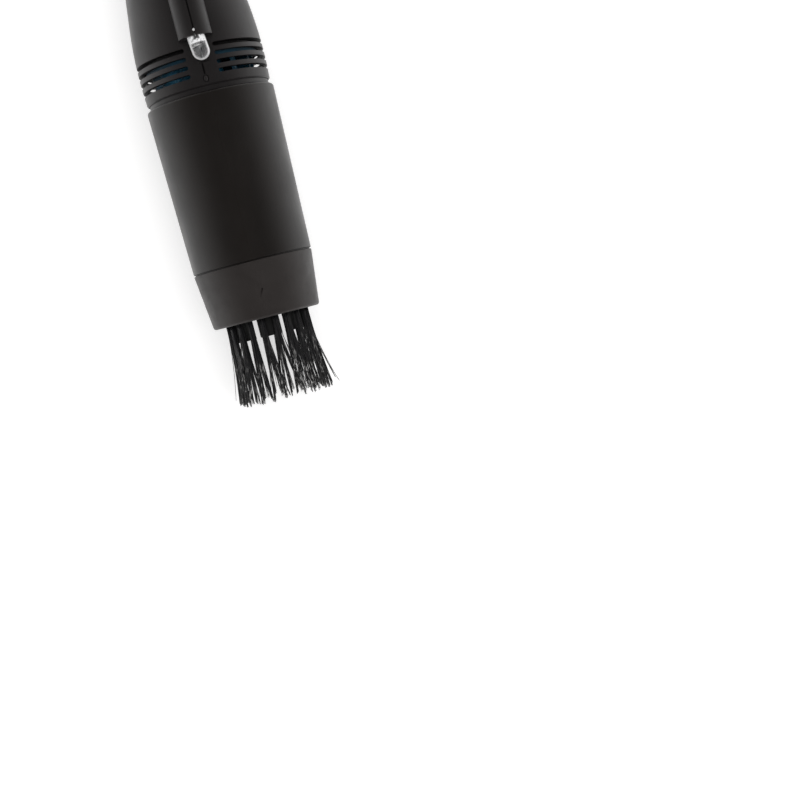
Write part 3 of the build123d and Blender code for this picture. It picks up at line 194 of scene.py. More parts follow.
def at(station, y=0.0, z=0.0):
    """A point of the row frame in metres, from a station and offsets from the axis in millimetres."""
    return Vector(((station + STATION_SHIFT) * MM, y * MM, (z + AXIS_HEIGHT) * MM))


# The lamp's own frame: its axis first, with the seat of its flange as the origin
LAMP_TURN = Matrix.Rotation(math.radians(LED_TILT), 4, "Z")
LAMP_PLACE = Matrix.Translation(at(LED_SEAT, 0.0, LED_HEIGHT)) @ LAMP_TURN


# Materials


class Paint:
    """A node material in the making: a shader, object coordinates and short calls for its textures."""

    def __init__(self, name, colour, roughness, metallic=0.0):
        self.material = bpy.data.materials.new(name)
        self.material.use_nodes = True
        self.tree = self.material.node_tree
        self.shader = self.tree.nodes["Principled BSDF"]
        self.place = self.add("ShaderNodeTexCoord").outputs["Object"]
        self.set("Base Color", (*colour, 1.0))
        self.set("Roughness", roughness)
        self.set("Metallic", metallic)

    def add(self, kind, **settings):
        """A new node with its settings."""
        node = self.tree.nodes.new(kind)
        for name, value in settings.items():
            setattr(node, name, value)
        return node

    def set(self, socket, value):
        """A constant on the shader's own socket."""
        self.shader.inputs[socket].default_value = value

    def wire(self, start, end):
        self.tree.links.new(start, end)

    def stretched(self, stretch):
        """Object coordinates scaled on each axis."""
        mapping = self.add("ShaderNodeMapping")
        mapping.inputs["Scale"].default_value = stretch
        self.wire(self.place, mapping.inputs["Vector"])
        return mapping.outputs["Vector"]

    def noise(self, scale, detail=4.0, stretch=None, distortion=0.0):
        """Fractal noise of a scale per metre."""
        node = self.add("ShaderNodeTexNoise")
        node.inputs["Scale"].default_value = scale
        node.inputs["Detail"].default_value = detail
        node.inputs["Distortion"].default_value = distortion
        self.wire(self.stretched(stretch) if stretch else self.place, node.inputs["Vector"])
        return node.outputs["Fac"]

    def cells(self, scale, stretch=None):
        """Distance to the nearest of a scatter of points."""
        node = self.add("ShaderNodeTexVoronoi")
        node.inputs["Scale"].default_value = scale
        self.wire(self.stretched(stretch) if stretch else self.place, node.inputs["Vector"])
        return node.outputs["Distance"]

    def bands(self, scale, axis, distortion=0.0):
        """Even waves along one axis."""
        node = self.add("ShaderNodeTexWave", wave_type="BANDS", bands_direction=axis)
        node.inputs["Scale"].default_value = scale
        node.inputs["Distortion"].default_value = distortion
        self.wire(self.place, node.inputs["Vector"])
        return node.outputs["Fac"]

    def edges(self, low=0.5, high=0.6):
        """How sharply the surface is convex, from 0 on the flat to 1 on an edge."""
        return self.span(self.add("ShaderNodeNewGeometry").outputs["Pointiness"], low, high, 0.0, 1.0)

    def openness(self, reach):
        """How open the surface is, from 0 deep in a slot or a seam to 1 in the open."""
        node = self.add("ShaderNodeAmbientOcclusion", samples=8)
        node.inputs["Distance"].default_value = reach
        return self.span(node.outputs["AO"], 0.25, 0.75, 0.0, 1.0)

    def span(self, value, low, high, to_low, to_high):
        """A value mapped from one range to another and held within it."""
        node = self.add("ShaderNodeMapRange")
        for socket, number in zip(node.inputs[1:5], (low, high, to_low, to_high)):
            socket.default_value = number
        self.wire(value, node.inputs["Value"])
        return node.outputs["Result"]

    def sum(self, first, second, operation="ADD"):
        """Two values joined by a sum or another operation."""
        node = self.add("ShaderNodeMath", operation=operation)
        for socket, value in zip(node.inputs, (first, second)):
            if isinstance(value, float):
                socket.default_value = value
            else:
                self.wire(value, socket)
        return node.outputs["Value"]

    def ramp(self, value, *stops):
        """A colour that runs through stops of place and colour."""
        node = self.add("ShaderNodeValToRGB")
        elements = node.color_ramp.elements
        while len(elements) < len(stops):
            elements.new(0.5)
        for element, (place, colour) in zip(elements, stops):
            element.position = place
            element.color = (*colour, 1.0)
        self.wire(value, node.inputs["Fac"])
        return node.outputs["Color"]

    def mix(self, factor, first, second):
        """One colour laid over another by a factor."""
        node = self.add("ShaderNodeMix", data_type="RGBA")
        self.wire(factor, node.inputs["Factor"])
        for socket, colour in ((node.inputs[6], first), (node.inputs[7], second)):
            if isinstance(colour, tuple):
                socket.default_value = (*colour, 1.0)
            else:
                self.wire(colour, socket)
        return node.outputs[2]

    def colour(self, value):
        self.wire(value, self.shader.inputs["Base Color"])

    def roughness(self, value):
        self.wire(value, self.shader.inputs["Roughness"])

    def bump(self, height, strength, distance):
        """Relief added on top of any relief that is already there."""
        node = self.add("ShaderNodeBump")
        node.inputs["Strength"].default_value = strength
        node.inputs["Distance"].default_value = distance
        normal = self.shader.inputs["Normal"]
        if normal.is_linked:
            self.wire(normal.links[0].from_socket, node.inputs["Normal"])
        self.wire(height, node.inputs["Height"])
        self.wire(node.outputs["Normal"], normal)


def shade(colour, factor):
    """A colour made lighter or darker."""
    return tuple(min(1.0, channel * factor) for channel in colour)


def moulded(name, colour, rough, grain, worn=1.6, reach=CREVICE_REACH):
    """Moulded plastic: eroded grain, flow marks, hair scratches, rubbed edges, and dull crevices with
    painted shade in them.
    """
    paint = Paint(name, colour, rough)
    flow = paint.noise(70, 5.0, stretch=(0.4, 1.0, 1.0), distortion=0.6)
    body = paint.ramp(flow, (0.3, shade(colour, 0.82)), (0.7, shade(colour, 1.18)))
    rubbed = paint.sum(paint.edges(0.52, 0.62), paint.noise(900, 3.0), "MULTIPLY")
    worn_body = paint.mix(rubbed, body, shade(colour, worn))
    openness = paint.openness(reach)
    # Painted shade: the colour darkens where nearby walls close the surface in, as in slots, seams and
    # between the fan's blades
    paint.colour(paint.mix(openness, shade(colour, PAINTED_CREVICE_SHADE), worn_body))
    smudge = paint.span(paint.noise(110, 4.0), 0.3, 0.7, rough - 0.05, rough + 0.06)
    hair = paint.span(paint.noise(500, 2.0, stretch=(0.12, 3.0, 3.0)), 0.62, 0.75, 0.0, 0.08)
    dusty = paint.span(openness, 0.0, 1.0, 0.5, 0.0)
    paint.roughness(paint.sum(paint.sum(smudge, hair), dusty))
    paint.bump(paint.noise(9000, 2.0), grain, 0.00004)
    paint.bump(paint.noise(300, 2.0), 0.06, 0.0003)
    return paint.material


def soft_grey(name, colour):
    """Soft matte plastic: marbled flow, a powdery grain, bloom on the edges, and dull crevices with
    painted shade in them.
    """
    paint = Paint(name, colour, 0.62)
    flow = paint.noise(95, 6.0, stretch=(1.0, 0.55, 1.0), distortion=1.4)
    body = paint.ramp(flow, (0.28, shade(colour, 0.88)), (0.5, colour), (0.72, shade(colour, 1.14)))
    bloomed = paint.mix(paint.edges(0.52, 0.64), body, shade(colour, 1.7))
    openness = paint.openness(CREVICE_REACH)
    # Painted shade: the colour darkens where nearby walls close the surface in
    paint.colour(paint.mix(openness, shade(colour, PAINTED_CREVICE_SHADE), bloomed))
    powder = paint.span(paint.noise(240, 4.0), 0.3, 0.7, 0.40, 0.54)
    paint.roughness(paint.sum(powder, paint.span(openness, 0.0, 1.0, 0.4, 0.0)))
    paint.bump(paint.noise(6500, 3.0), 0.22, 0.00005)
    paint.bump(paint.noise(420, 3.0), 0.1, 0.0002)
    return paint.material


def rubber(name, colour):
    """Matte rubber with a fine open grain and pale handling marks."""
    paint = Paint(name, colour, 0.75)
    marks = paint.noise(260, 5.0, distortion=0.8)
    paint.colour(paint.ramp(marks, (0.35, shade(colour, 0.8)), (0.75, shade(colour, 1.7))))
    paint.roughness(paint.span(paint.noise(700, 3.0), 0.3, 0.7, 0.66, 0.84))
    paint.bump(paint.cells(5200), 0.25, 0.00005)
    return paint.material


def filament(name, colour):
    """Nylon filament: glossy, with drawing lines along it, and pale flecks towards its tip that are
    painted highlights.
    """
    paint = Paint(name, colour, 0.34)
    tone = paint.noise(1500, 2.0, stretch=(0.05, 1.0, 1.0))
    body = paint.ramp(tone, (0.35, shade(colour, 0.6)), (0.62, colour), (0.8, shade(colour, 3.2)))
    along = paint.add("ShaderNodeSeparateXYZ")
    paint.wire(paint.place, along.inputs["Vector"])
    # Painted highlights: pale flecks in patches along the outer part of the strands, in place of glints
    # of light on them
    glint_reach = paint.span(along.outputs["X"], at(PAD_FRONT + PAINTED_GLINT_START).x, at(BRISTLE_TIP).x, 0.0, 1.0)
    flecks = paint.span(paint.noise(2200, 3.0, stretch=(0.25, 1.0, 1.0)), 0.52, 0.62, 0.0, 1.0)
    used = paint.span(paint.noise(320, 2.0, stretch=(0.5, 1.0, 1.0)), 0.50, 0.60, 0.0, 1.0)
    pale = paint.sum(paint.sum(glint_reach, flecks, "MULTIPLY"), used, "MULTIPLY")
    paint.colour(paint.mix(pale, body, PAINTED_GLINT_COLOUR))
    paint.roughness(paint.span(paint.noise(4000, 2.0, stretch=(0.1, 1.0, 1.0)), 0.3, 0.7, 0.26, 0.44))
    paint.bump(paint.noise(15000, 2.0, stretch=(0.06, 1.0, 1.0)), 0.2, 0.00002)
    return paint.material


def lamp_distance(paint, axis):
    """Distance from the seat of the lamp's flange along one of its own axes, in millimetres."""
    dot = paint.add("ShaderNodeVectorMath", operation="DOT_PRODUCT")
    dot.inputs[1].default_value = axis / MM
    paint.wire(paint.place, dot.inputs[0])
    return paint.sum(dot.outputs["Value"], -axis.dot(LAMP_PLACE.translation) / MM)


def clear_epoxy(name):
    """Clear cast epoxy with a painted highlight along its rim, for the light it gathers there from the
    sides.

    Round the lead frame it is painted milky white, on both sides and in a band across its front, as a
    painted highlight."""
    paint = Paint(name, (0.93, 0.94, 0.95), 0.05)
    paint.set("IOR", 1.5)
    # Painted highlight: the lens stops passing light and shows its white base colour where it turns away
    # from view
    facing = paint.add("ShaderNodeLayerWeight").outputs["Facing"]
    haze = paint.span(paint.noise(700, 3.0, distortion=0.5), 0.3, 0.7, -0.1, 0.04)
    clear = paint.sum(paint.span(facing, 0.28, 0.55, 0.96, 0.0), haze)
    # Painted highlight: milky white on both sides of the lead frame and in a band across its front
    along = lamp_distance(paint, LAMP_PLACE.col[0].xyz)
    aside = paint.sum(lamp_distance(paint, LAMP_PLACE.col[1].xyz), 0.0, "ABSOLUTE")
    band = paint.span(along, PAINTED_BAR_START, PAINTED_BAR_FULL, 0.0, 1.0)
    sides = paint.span(aside, PAINTED_SIDE_INNER, PAINTED_SIDE_OUTER, 0.0, 1.0)
    behind = paint.span(along, PAINTED_GLOW_FADE, PAINTED_GLOW_END, 1.0, 0.0)
    painted_glow = paint.sum(paint.sum(band, sides, "MAXIMUM"), behind, "MULTIPLY")
    patches = paint.span(paint.noise(1100, 2.0), 0.38, 0.56, 0.25, 1.0)
    painted_glow = paint.sum(painted_glow, patches, "MULTIPLY")
    paint.wire(paint.sum(clear, painted_glow, "SUBTRACT"), paint.shader.inputs["Transmission Weight"])
    paint.roughness(paint.span(paint.noise(1200, 3.0), 0.35, 0.7, 0.03, 0.12))
    paint.bump(paint.noise(500, 2.0), 0.05, 0.0001)
    return paint.material


def glint_epoxy(name):
    """The same epoxy, left rough from the mould, in a pale colour that is a painted glint."""
    dull = (0.5, 0.51, 0.52)
    bright = (0.68, 0.68, 0.68)
    # Painted glint: an even pale grey-white in place of a spot of reflected light
    paint = Paint(name, (0.6, 0.6, 0.6), 0.4)
    paint.colour(paint.ramp(paint.noise(2500, 4.0), (0.3, dull), (0.7, bright)))
    paint.set("Transmission Weight", 0.15)
    paint.roughness(paint.span(paint.noise(3000, 3.0), 0.3, 0.7, 0.3, 0.5))
    paint.bump(paint.noise(6000, 2.0), 0.2, 0.00003)
    return paint.material


def silver_plate(name):
    """Matt silver plating, nearly white, with a fine grain and grey handling patches."""
    handled = (0.50, 0.50, 0.49)
    clean = (0.92, 0.92, 0.91)
    paint = Paint(name, (0.85, 0.85, 0.84), 0.5, 0.35)
    paint.colour(paint.ramp(paint.noise(1800, 4.0), (0.32, handled), (0.6, clean)))
    paint.roughness(paint.span(paint.noise(3000, 3.0), 0.3, 0.7, 0.4, 0.6))
    paint.bump(paint.noise(7000, 2.0), 0.15, 0.00003)
    return paint.material


def metal(name, colour, rough, stretch, tarnish=0.72):
    """Bare or plated metal: fine drawing lines, patchy tarnish and uneven gloss."""
    paint = Paint(name, colour, rough, 1.0)
    patches = paint.noise(330, 5.0, distortion=0.7)
    dull = shade(colour, tarnish)
    paint.colour(paint.ramp(patches, (0.3, dull), (0.65, colour), (0.8, shade(colour, 1.12))))
    lines = paint.noise(5000, 3.0, stretch=stretch)
    paint.roughness(paint.span(lines, 0.3, 0.7, rough - 0.08, rough + 0.12))
    paint.bump(lines, 0.16, 0.00003)
    return paint.material


def sintered(name, colour, metallic, rough):
    """Pressed and sintered powder, with open pores and a speckle of bright grains."""
    paint = Paint(name, colour, rough, metallic)
    grains = paint.cells(4200)
    pore = shade(colour, 0.55)
    paint.colour(paint.ramp(grains, (0.05, pore), (0.4, colour), (0.75, shade(colour, 1.35))))
    paint.roughness(paint.span(paint.noise(2600, 3.0), 0.3, 0.7, rough - 0.1, rough + 0.1))
    paint.bump(grains, 0.3, 0.00006)
    return paint.material


def copper_coil(name, colour):
    """Enamelled copper wire laid in turns, each one a small ridge, with painted shade between the turns
    and a painted highlight on their crowns.
    """
    paint = Paint(name, colour, 0.3, 0.85)
    turns = paint.bands(900, "X", 0.4)
    # Painted shade in the valleys between turns and a painted highlight on their crowns
    paint.colour(paint.ramp(turns, (0.1, shade(colour, 0.25)), (0.5, colour), (0.9, shade(colour, 1.3))))
    paint.roughness(paint.span(paint.noise(1800, 3.0), 0.3, 0.7, 0.22, 0.42))
    paint.bump(turns, 0.8, 0.00015)
    return paint.material


def dipped(name, colour, rough):
    """Dipped coating: a glossy skin with drips and slightly uneven colour."""
    paint = Paint(name, colour, rough)
    pool = paint.noise(420, 4.0, distortion=0.9)
    paint.colour(paint.ramp(pool, (0.3, shade(colour, 0.75)), (0.7, shade(colour, 1.15))))
    paint.roughness(paint.span(paint.noise(1500, 3.0), 0.3, 0.7, rough - 0.06, rough + 0.14))
    paint.bump(pool, 0.25, 0.0002)
    paint.set("Coat Weight", 0.4)
    return paint.material


def banded_resistor(name, colour):
    """Beige enamel with four plain rings of paint round the body."""
    paint = Paint(name, colour, 0.35)
    along = paint.add("ShaderNodeSeparateXYZ")
    paint.wire(paint.place, along.inputs["Vector"])
    low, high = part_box("led_resistor")
    share = paint.span(along.outputs["X"], low[0], high[0], 0.0, 1.0)
    brown = (0.12, 0.04, 0.01)
    red = (0.3, 0.02, 0.02)
    dark_brown = (0.1, 0.03, 0.01)
    gold = (0.5, 0.33, 0.08)
    ring_width = 0.04
    stops = [(0.0, colour)]
    for place, ring in ((0.36, brown), (0.46, red), (0.56, dark_brown), (0.68, gold)):
        stops += [(place, ring), (place + ring_width, colour)]
    rings = paint.ramp(share, *stops)
    rings.node.color_ramp.interpolation = "CONSTANT"
    dirt = paint.span(paint.noise(900, 3.0), 0.4, 0.8, 0.0, 0.35)
    paint.colour(paint.mix(dirt, rings, shade(colour, 0.5)))
    paint.roughness(paint.span(paint.noise(1500, 3.0), 0.3, 0.7, 0.28, 0.46))
    paint.bump(paint.noise(2500, 3.0), 0.12, 0.0001)
    return paint.material


def insulation(name, colour):
    """Extruded wire insulation with draw lines and a dusting of talc."""
    paint = Paint(name, colour, 0.42)
    talc = paint.noise(700, 4.0)
    paint.colour(paint.ramp(talc, (0.35, colour), (0.85, shade(colour, 2.2))))
    paint.roughness(paint.span(talc, 0.3, 0.7, 0.34, 0.52))
    paint.bump(paint.noise(3500, 2.0, stretch=(0.1, 1.0, 1.0)), 0.15, 0.00005)
    return paint.material


def felt(name, colour):
    """Non-woven cloth: pressed fibres lying every way, with a grey cast where dust has settled."""
    paint = Paint(name, colour, 0.92)
    one_way = paint.noise(2600, 3.0, stretch=(0.15, 1.0, 1.0), distortion=0.5)
    other_way = paint.noise(2600, 3.0, stretch=(1.0, 0.15, 1.0), distortion=0.5)
    fibres = paint.sum(one_way, other_way, "MAXIMUM")
    cloth = paint.ramp(fibres, (0.4, shade(colour, 0.7)), (0.65, colour))
    dust = paint.span(paint.noise(160, 5.0), 0.45, 0.75, 0.0, 0.5)
    dust_colour = (0.33, 0.31, 0.29)
    paint.colour(paint.mix(dust, cloth, dust_colour))
    paint.bump(fibres, 0.7, 0.0002)
    paint.set("Sheen Weight", 0.3)
    return paint.material


def phenolic(name, colour):
    """Pressed phenolic board, with a paper fleck under a dull surface."""
    paint = Paint(name, colour, 0.5)
    fleck = paint.noise(1400, 5.0, stretch=(1.0, 0.35, 1.0))
    paint.colour(paint.ramp(fleck, (0.35, shade(colour, 0.6)), (0.65, shade(colour, 1.4))))
    paint.roughness(paint.span(fleck, 0.3, 0.7, 0.42, 0.6))
    paint.bump(fleck, 0.15, 0.0001)
    return paint.material


# Drawing lines along the tool's axis and turning lines round it
ALONG = (0.06, 1.0, 1.0)
ROUND = (1.0, 0.08, 0.08)

# The finish of each material slot, and two more for the lamp
finishes = {
    "housing_black": moulded("housing_black", (0.0092, 0.0080, 0.0082), 0.40, 0.10),
    "cup_black": moulded("cup_black", (0.0068, 0.0053, 0.0045), 0.38, 0.08),
    "slider_black": moulded("slider_black", (0.016, 0.015, 0.015), 0.5, 0.2),
    "holder_black": moulded("holder_black", (0.006, 0.006, 0.006), 0.45, 0.1),
    "frame_black": moulded("frame_black", (0.018, 0.018, 0.019), 0.5, 0.15),
    "motor_nylon": moulded("motor_nylon", (0.70, 0.69, 0.64), 0.5, 0.15, 1.1),
    "fan_blue": moulded("fan_blue", (0.020, 0.115, 0.19), 0.22, 0.06, 1.5, FAN_CREVICE_REACH),
    "cap_soft": soft_grey("cap_soft", (0.0190, 0.0160, 0.0150)),
    "gland_rubber": rubber("gland_rubber", (0.018, 0.018, 0.018)),
    "bristle_black": filament("bristle_black", (0.012, 0.012, 0.013)),
    "led_clear": clear_epoxy("led_clear"),
    # The pip's pale finish is a painted glint
    "led_painted_glint": glint_epoxy("led_painted_glint"),
    "lead_silver": silver_plate("lead_silver"),
    "screw_steel": metal("screw_steel", (0.50, 0.50, 0.49), 0.3, ROUND),
    "switch_steel": metal("switch_steel", (0.55, 0.55, 0.54), 0.34, ALONG),
    "tinned_lead": metal("tinned_lead", (0.72, 0.72, 0.71), 0.3, ALONG, 0.85),
    "motor_steel": metal("motor_steel", (0.46, 0.46, 0.45), 0.36, ALONG),
    "shaft_steel": metal("shaft_steel", (0.62, 0.62, 0.62), 0.16, ROUND),
    "sintered_bronze": sintered("sintered_bronze", (0.5, 0.34, 0.17), 0.9, 0.5),
    "ferrite": sintered("ferrite", (0.05, 0.05, 0.055), 0.2, 0.6),
    "copper": copper_coil("copper", (0.62, 0.27, 0.13)),
    "insulator_brown": phenolic("insulator_brown", (0.12, 0.06, 0.03)),
    "resistor_enamel": banded_resistor("resistor_enamel", (0.55, 0.42, 0.26)),
    "capacitor_ceramic": dipped("capacitor_ceramic", (0.6, 0.28, 0.07), 0.3),
    "wire_red": insulation("wire_red", (0.4, 0.02, 0.02)),
    "wire_black": insulation("wire_black", (0.015, 0.015, 0.015)),
    "filter_white": felt("filter_white", (0.78, 0.77, 0.73)),
}


# Shared mesh helpers


def make_piece(name, vertices, faces, slot, finish=None):
    """A smooth-shaded mesh object with the finish of its material slot, or with one of its own."""
    mesh = bpy.data.meshes.new(name)
    mesh.from_pydata(vertices, [], faces)
    mesh.update()
    mesh.polygons.foreach_set("use_smooth", [True] * len(mesh.polygons))
    mesh.materials.append(finishes[finish or slot])
    piece = bpy.data.objects.new(name, mesh)
    bpy.context.scene.collection.objects.link(piece)
    return piece


def lathe(profile, segments, shape=None):
    """Vertices and faces of a closed form turned about X from pairs of station and radius.

    shape may change a point: it gets its station, radius and angle, and returns the first two."""
    vertices = []
    faces = []
    count = len(profile)
    for step in range(segments):
        angle = 2 * math.pi * step / segments
        for station, radius in profile:
            if shape:
                station, radius = shape(station, radius, angle)
            vertices.append((station, radius * math.sin(angle), radius * math.cos(angle)))
    for step in range(segments):
        here = step * count
        there = (step + 1) % segments * count
        for point in range(count):
            after = (point + 1) % count
            faces.append((here + point, here + after, there + after, there + point))
    return vertices, faces


def arc(centre, radius, start, end, steps):
    """Points of a circular arc in station and radius, between two angles in degrees."""
    points = []
    for step in range(steps + 1):
        angle = math.radians(start + (end - start) * step / steps)
        points.append((centre[0] + radius * math.cos(angle), centre[1] + radius * math.sin(angle)))
    return points


# CAD nodes keep their shapes and take the finish of their slot


for node in nodes.values():
    slot_name = node.data.materials[0].name.split(".")[0]
    node.data.materials[0] = finishes[slot_name]


# Bristles


def strand(vertices, faces, path, radius, sides=STRAND_SIDES):
    """One tapered filament along a path, closed at both ends."""
    first = len(vertices)
    last = len(path) - 1
    for number, centre in enumerate(path):
        before = path[max(0, number - 1)]
        after = path[min(last, number + 1)]
        along = (after - before).normalized()
        side = along.cross(Vector((0, 0, 1))).normalized()
        up = side.cross(along)
        thick = radius * (1.0 - STRAND_TAPER * (number / last) ** 3)
        for corner in range(sides):
            angle = 2 * math.pi * corner / sides
            vertices.append(centre + thick * (math.cos(angle) * side + math.sin(angle) * up))
    for ring_number in range(last):
        here = first + ring_number * sides
        for corner in range(sides):
            after = (corner + 1) % sides
            faces.append((here + corner, here + after, here + sides + after, here + sides + corner))
    faces.append(tuple(range(first + last * sides, first + (last + 1) * sides)))
    faces.append(tuple(reversed(range(first, first + sides))))


def tuft_locks(chance):
    """The locks that a used tuft parts into: how far each goes sideways and outward, and its wear."""
    locks = []
    for number in range(LOCKS):
        angle = 2 * math.pi * (number + chance.uniform(*LOCK_TURN)) / LOCKS
        reach = TIP_RADIUS * chance.uniform(*LOCK_REACH)
        wear = abs(chance.gauss(0.0, LOCK_WEAR))
        lean = TIP_LEAN + LOCK_LEAN * reach * math.sin(angle)
        locks.append((reach * math.cos(angle), lean, wear))
    return locks


def strand_path(chance, turn, number, locks):
    """The line of one filament: it leaves the tuft's neck and is drawn into the lock on its own side."""
    share = math.sqrt((number + 0.5) / STRANDS)
    golden_angle = math.pi * (3.0 - math.sqrt(5.0))
    around = number * golden_angle % (2 * math.pi)
    across = share * math.cos(around) * NECK_RADIUS
    out = share * math.sin(around) * NECK_RADIUS
    spread, lean, wear = locks[int(LOCKS * around / (2 * math.pi))]
    spread += chance.gauss(0.0, STRAND_SCATTER)
    lean += chance.gauss(0.0, STRAND_SCATTER)
    tip = BRISTLE_TIP - TIP_MARGIN - wear - abs(chance.gauss(0.0, TIP_WEAR))
    if chance.random() < STRAY_SHARE:
        spread += chance.uniform(-STRAY_SPREAD, STRAY_SPREAD)
        lean += STRAY_REACH * chance.random() ** 2 - STRAY_INWARD
        tip -= chance.uniform(0.0, STRAY_SHORTER)
    curl = chance.uniform(-STRAND_CURL, STRAND_CURL)
    root = PAD_FRONT - STRAND_BURIED
    points = []
    for step in range(STRAND_STEPS + 1):
        share = step / STRAND_STEPS
        bend = share**STRAND_BEND
        y = across + (spread - across) * bend + curl * math.sin(math.pi * share)
        z = TUFT_RING + out + (lean - out) * bend
        x = root + (tip - root) * share
        side = y * math.cos(turn) - z * math.sin(turn)
        height = y * math.sin(turn) + z * math.cos(turn)
        points.append(at(x, side, height))
    return points


def pad_slice(vertices, faces, start, end, segments=PAD_SEGMENTS):
    """The slice of backing that a sector's tufts are set in."""
    outline = (
        (PAD_BACK, PAD_INNER),
        (PAD_FRONT - PAD_ROUND, PAD_INNER),
        (PAD_FRONT, PAD_INNER + PAD_ROUND),
        (PAD_FRONT, PAD_OUTER - PAD_ROUND),
        (PAD_FRONT - PAD_ROUND, PAD_OUTER),
        (PAD_BACK, PAD_OUTER),
    )
    count = len(outline)
    first = len(vertices)
    for step in range(segments + 1):
        angle = start + (end - start) * step / segments
        for station, radius in outline:
            vertices.append(at(station, -radius * math.sin(angle), radius * math.cos(angle)))
    for step in range(segments):
        here = first + step * count
        for point in range(count):
            after = (point + 1) % count
            faces.append((here + point, here + count + point, here + count + after, here + after))
    faces.append(tuple(range(first, first + count)))
    faces.append(tuple(reversed(range(first + segments * count, first + (segments + 1) * count))))


def bristle_sector(sector):
    """One sector of the brush: a slice of backing with its tufts of filaments."""
    chance = random.Random(BRUSH_SEED + sector)
    width = 2 * math.pi / SECTORS
    pitch = 2 * math.pi / TUFTS
    gap = math.radians(SECTOR_GAP)
    vertices = []
    faces = []
    pad_slice(vertices, faces, sector * width + gap, (sector + 1) * width - gap)
    for tuft in range(TUFTS // SECTORS):
        turn = sector * width + (tuft + 0.5) * pitch
        locks = tuft_locks(chance)
        for number in range(STRANDS):
            radius = STRAND_RADIUS * chance.uniform(*STRAND_RANGE)
            strand(vertices, faces, strand_path(chance, turn, number, locks), radius * MM)
    piece = make_piece(f"bristle_sector_{sector + 1}", vertices, faces, "bristle_black")
    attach(piece, "brush")
    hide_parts(f"bristles_{sector + 1}")


for sector in range(SECTORS):
    bristle_sector(sector)


# Lamp


def in_lamp(point):
    """A point of the lamp's own frame in millimetres, in the row frame in metres."""
    return LAMP_PLACE @ (Vector(point) * MM)


def led_lens():
    """Clear cast body of the lamp: a rounded flange with its flat, a straight barrel and a dome."""
    dome = LED_LENGTH - LED_FLANGE - LED_RADIUS
    edge = LED_FLANGE_RADIUS - LED_EDGE_ROUND
    profile = [(-LED_FLANGE, LED_AXIS_GAP), (-LED_FLANGE, edge)]
    profile += arc((-LED_FLANGE + LED_EDGE_ROUND, edge), LED_EDGE_ROUND, 180, 90, 4)
    profile += arc((-LED_EDGE_ROUND, edge), LED_EDGE_ROUND, 90, 0, 4)
    profile += [(0.0, LED_RADIUS + LED_FILLET), (LED_FILLET, LED_RADIUS)]
    profile += arc((dome, 0.0), LED_RADIUS, 90, LED_DOME_END, LED_DOME_STEPS)
    flat = LED_RADIUS + LED_FLAT_MARGIN

    def cathode_flat(station, radius, angle):
        """One side of the flange is cut flat."""
        side = math.sin(angle)
        if radius > flat and side < -0.01:
            radius = min(radius, -flat / side)
        return station, radius

    vertices, faces = lathe(profile, LED_SEGMENTS, cathode_flat)
    lens = make_piece("led_body", [in_lamp(v) for v in vertices], faces, "led_clear")
    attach(lens, "housing")
    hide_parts("led_lens")


def plate(back, front, left, right, half_height):
    """A flat bar of the lamp's frame, level with its axis."""
    outline = ((back, left), (front, left), (front, right), (back, right))
    vertices = [in_lamp((x, y, z)) for z in (-half_height, half_height) for x, y in outline]
    faces = [(3, 2, 1, 0), (4, 5, 6, 7)]
    for corner in range(4):
        after = (corner + 1) % 4
        faces.append((corner, after, 4 + after, 4 + corner))
    return vertices, faces


def merged(parts):
    """Several sets of vertices and faces as one."""
    vertices = []
    faces = []
    for more_vertices, more_faces in parts:
        first = len(vertices)
        vertices += more_vertices
        faces += [tuple(first + index for index in face) for face in more_faces]
    return vertices, faces


def led_lead_frame():
    """Stamped lead frame cast into the lamp: two posts, a crossbar in two parts and the chip's dish."""
    parts = []
    foot = POST_INSET - LED_FLANGE
    for side in (-LEAD_PITCH / 2, LEAD_PITCH / 2):
        parts.append(plate(foot, BAR_FRONT, side - POST_HALF, side + POST_HALF, POST_HALF))
    parts.append(plate(BAR_BACK, BAR_FRONT, -BAR_REACH, BAR_GAP_LEFT, BAR_HALF))
    parts.append(plate(BAR_BACK, BAR_FRONT, BAR_GAP_RIGHT, BAR_REACH, BAR_HALF))
    outline = (
        (DISH_BACK, LED_AXIS_GAP),
        (DISH_BACK, DISH_NECK_RADIUS),
        (DISH_WIDEST, DISH_RADIUS),
        (DISH_FRONT, DISH_RADIUS),
        (DISH_FRONT, DISH_LIP_RADIUS),
        (DISH_FLOOR, DISH_FLOOR_RADIUS),
        (DISH_FLOOR, LED_AXIS_GAP),
    )
    vertices, faces = lathe(outline, SMALL_SEGMENTS)
    parts.append(([in_lamp((x, y + DISH_ASIDE, z)) for x, y, z in vertices], faces))
    piece = make_piece("led_lead_frame", *merged(parts), "tinned_lead", "lead_silver")
    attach(piece, "housing")


def led_pip():
    """The small pip on the flange that comes up through the spine and shows as a pale dot, a painted
    glint.
    """
    foot = LED_FLANGE_RADIUS - PIP_DEPTH
    dome_height = LED_PIP_RADIUS / 2
    dome_foot = LED_FLANGE_RADIUS + LED_PIP_HEIGHT - dome_height
    profile = [(foot, PIP_AXIS_GAP), (foot, LED_PIP_RADIUS)]
    for step in range(PIP_STEPS + 1):
        angle = math.pi / 2 * step / PIP_STEPS
        radius = max(PIP_AXIS_GAP, LED_PIP_RADIUS * math.cos(angle))
        profile.append((dome_foot + dome_height * math.sin(angle), radius))
    vertices, faces = lathe(profile, SMALL_SEGMENTS)
    points = [in_lamp((-LED_FLANGE / 2 - z, y, x)) for x, y, z in vertices]
    piece = make_piece("led_pip", points, faces, "led_clear", "led_painted_glint")
    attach(piece, "housing")


led_lens()
led_lead_frame()
led_pip()


# Filter cloth


def cloth_share(station):
    """How far along the cloth a station lies, from its root to its front."""
    return (station - CLOTH_BACK) / (CLOTH_FRONT - CLOTH_BACK)


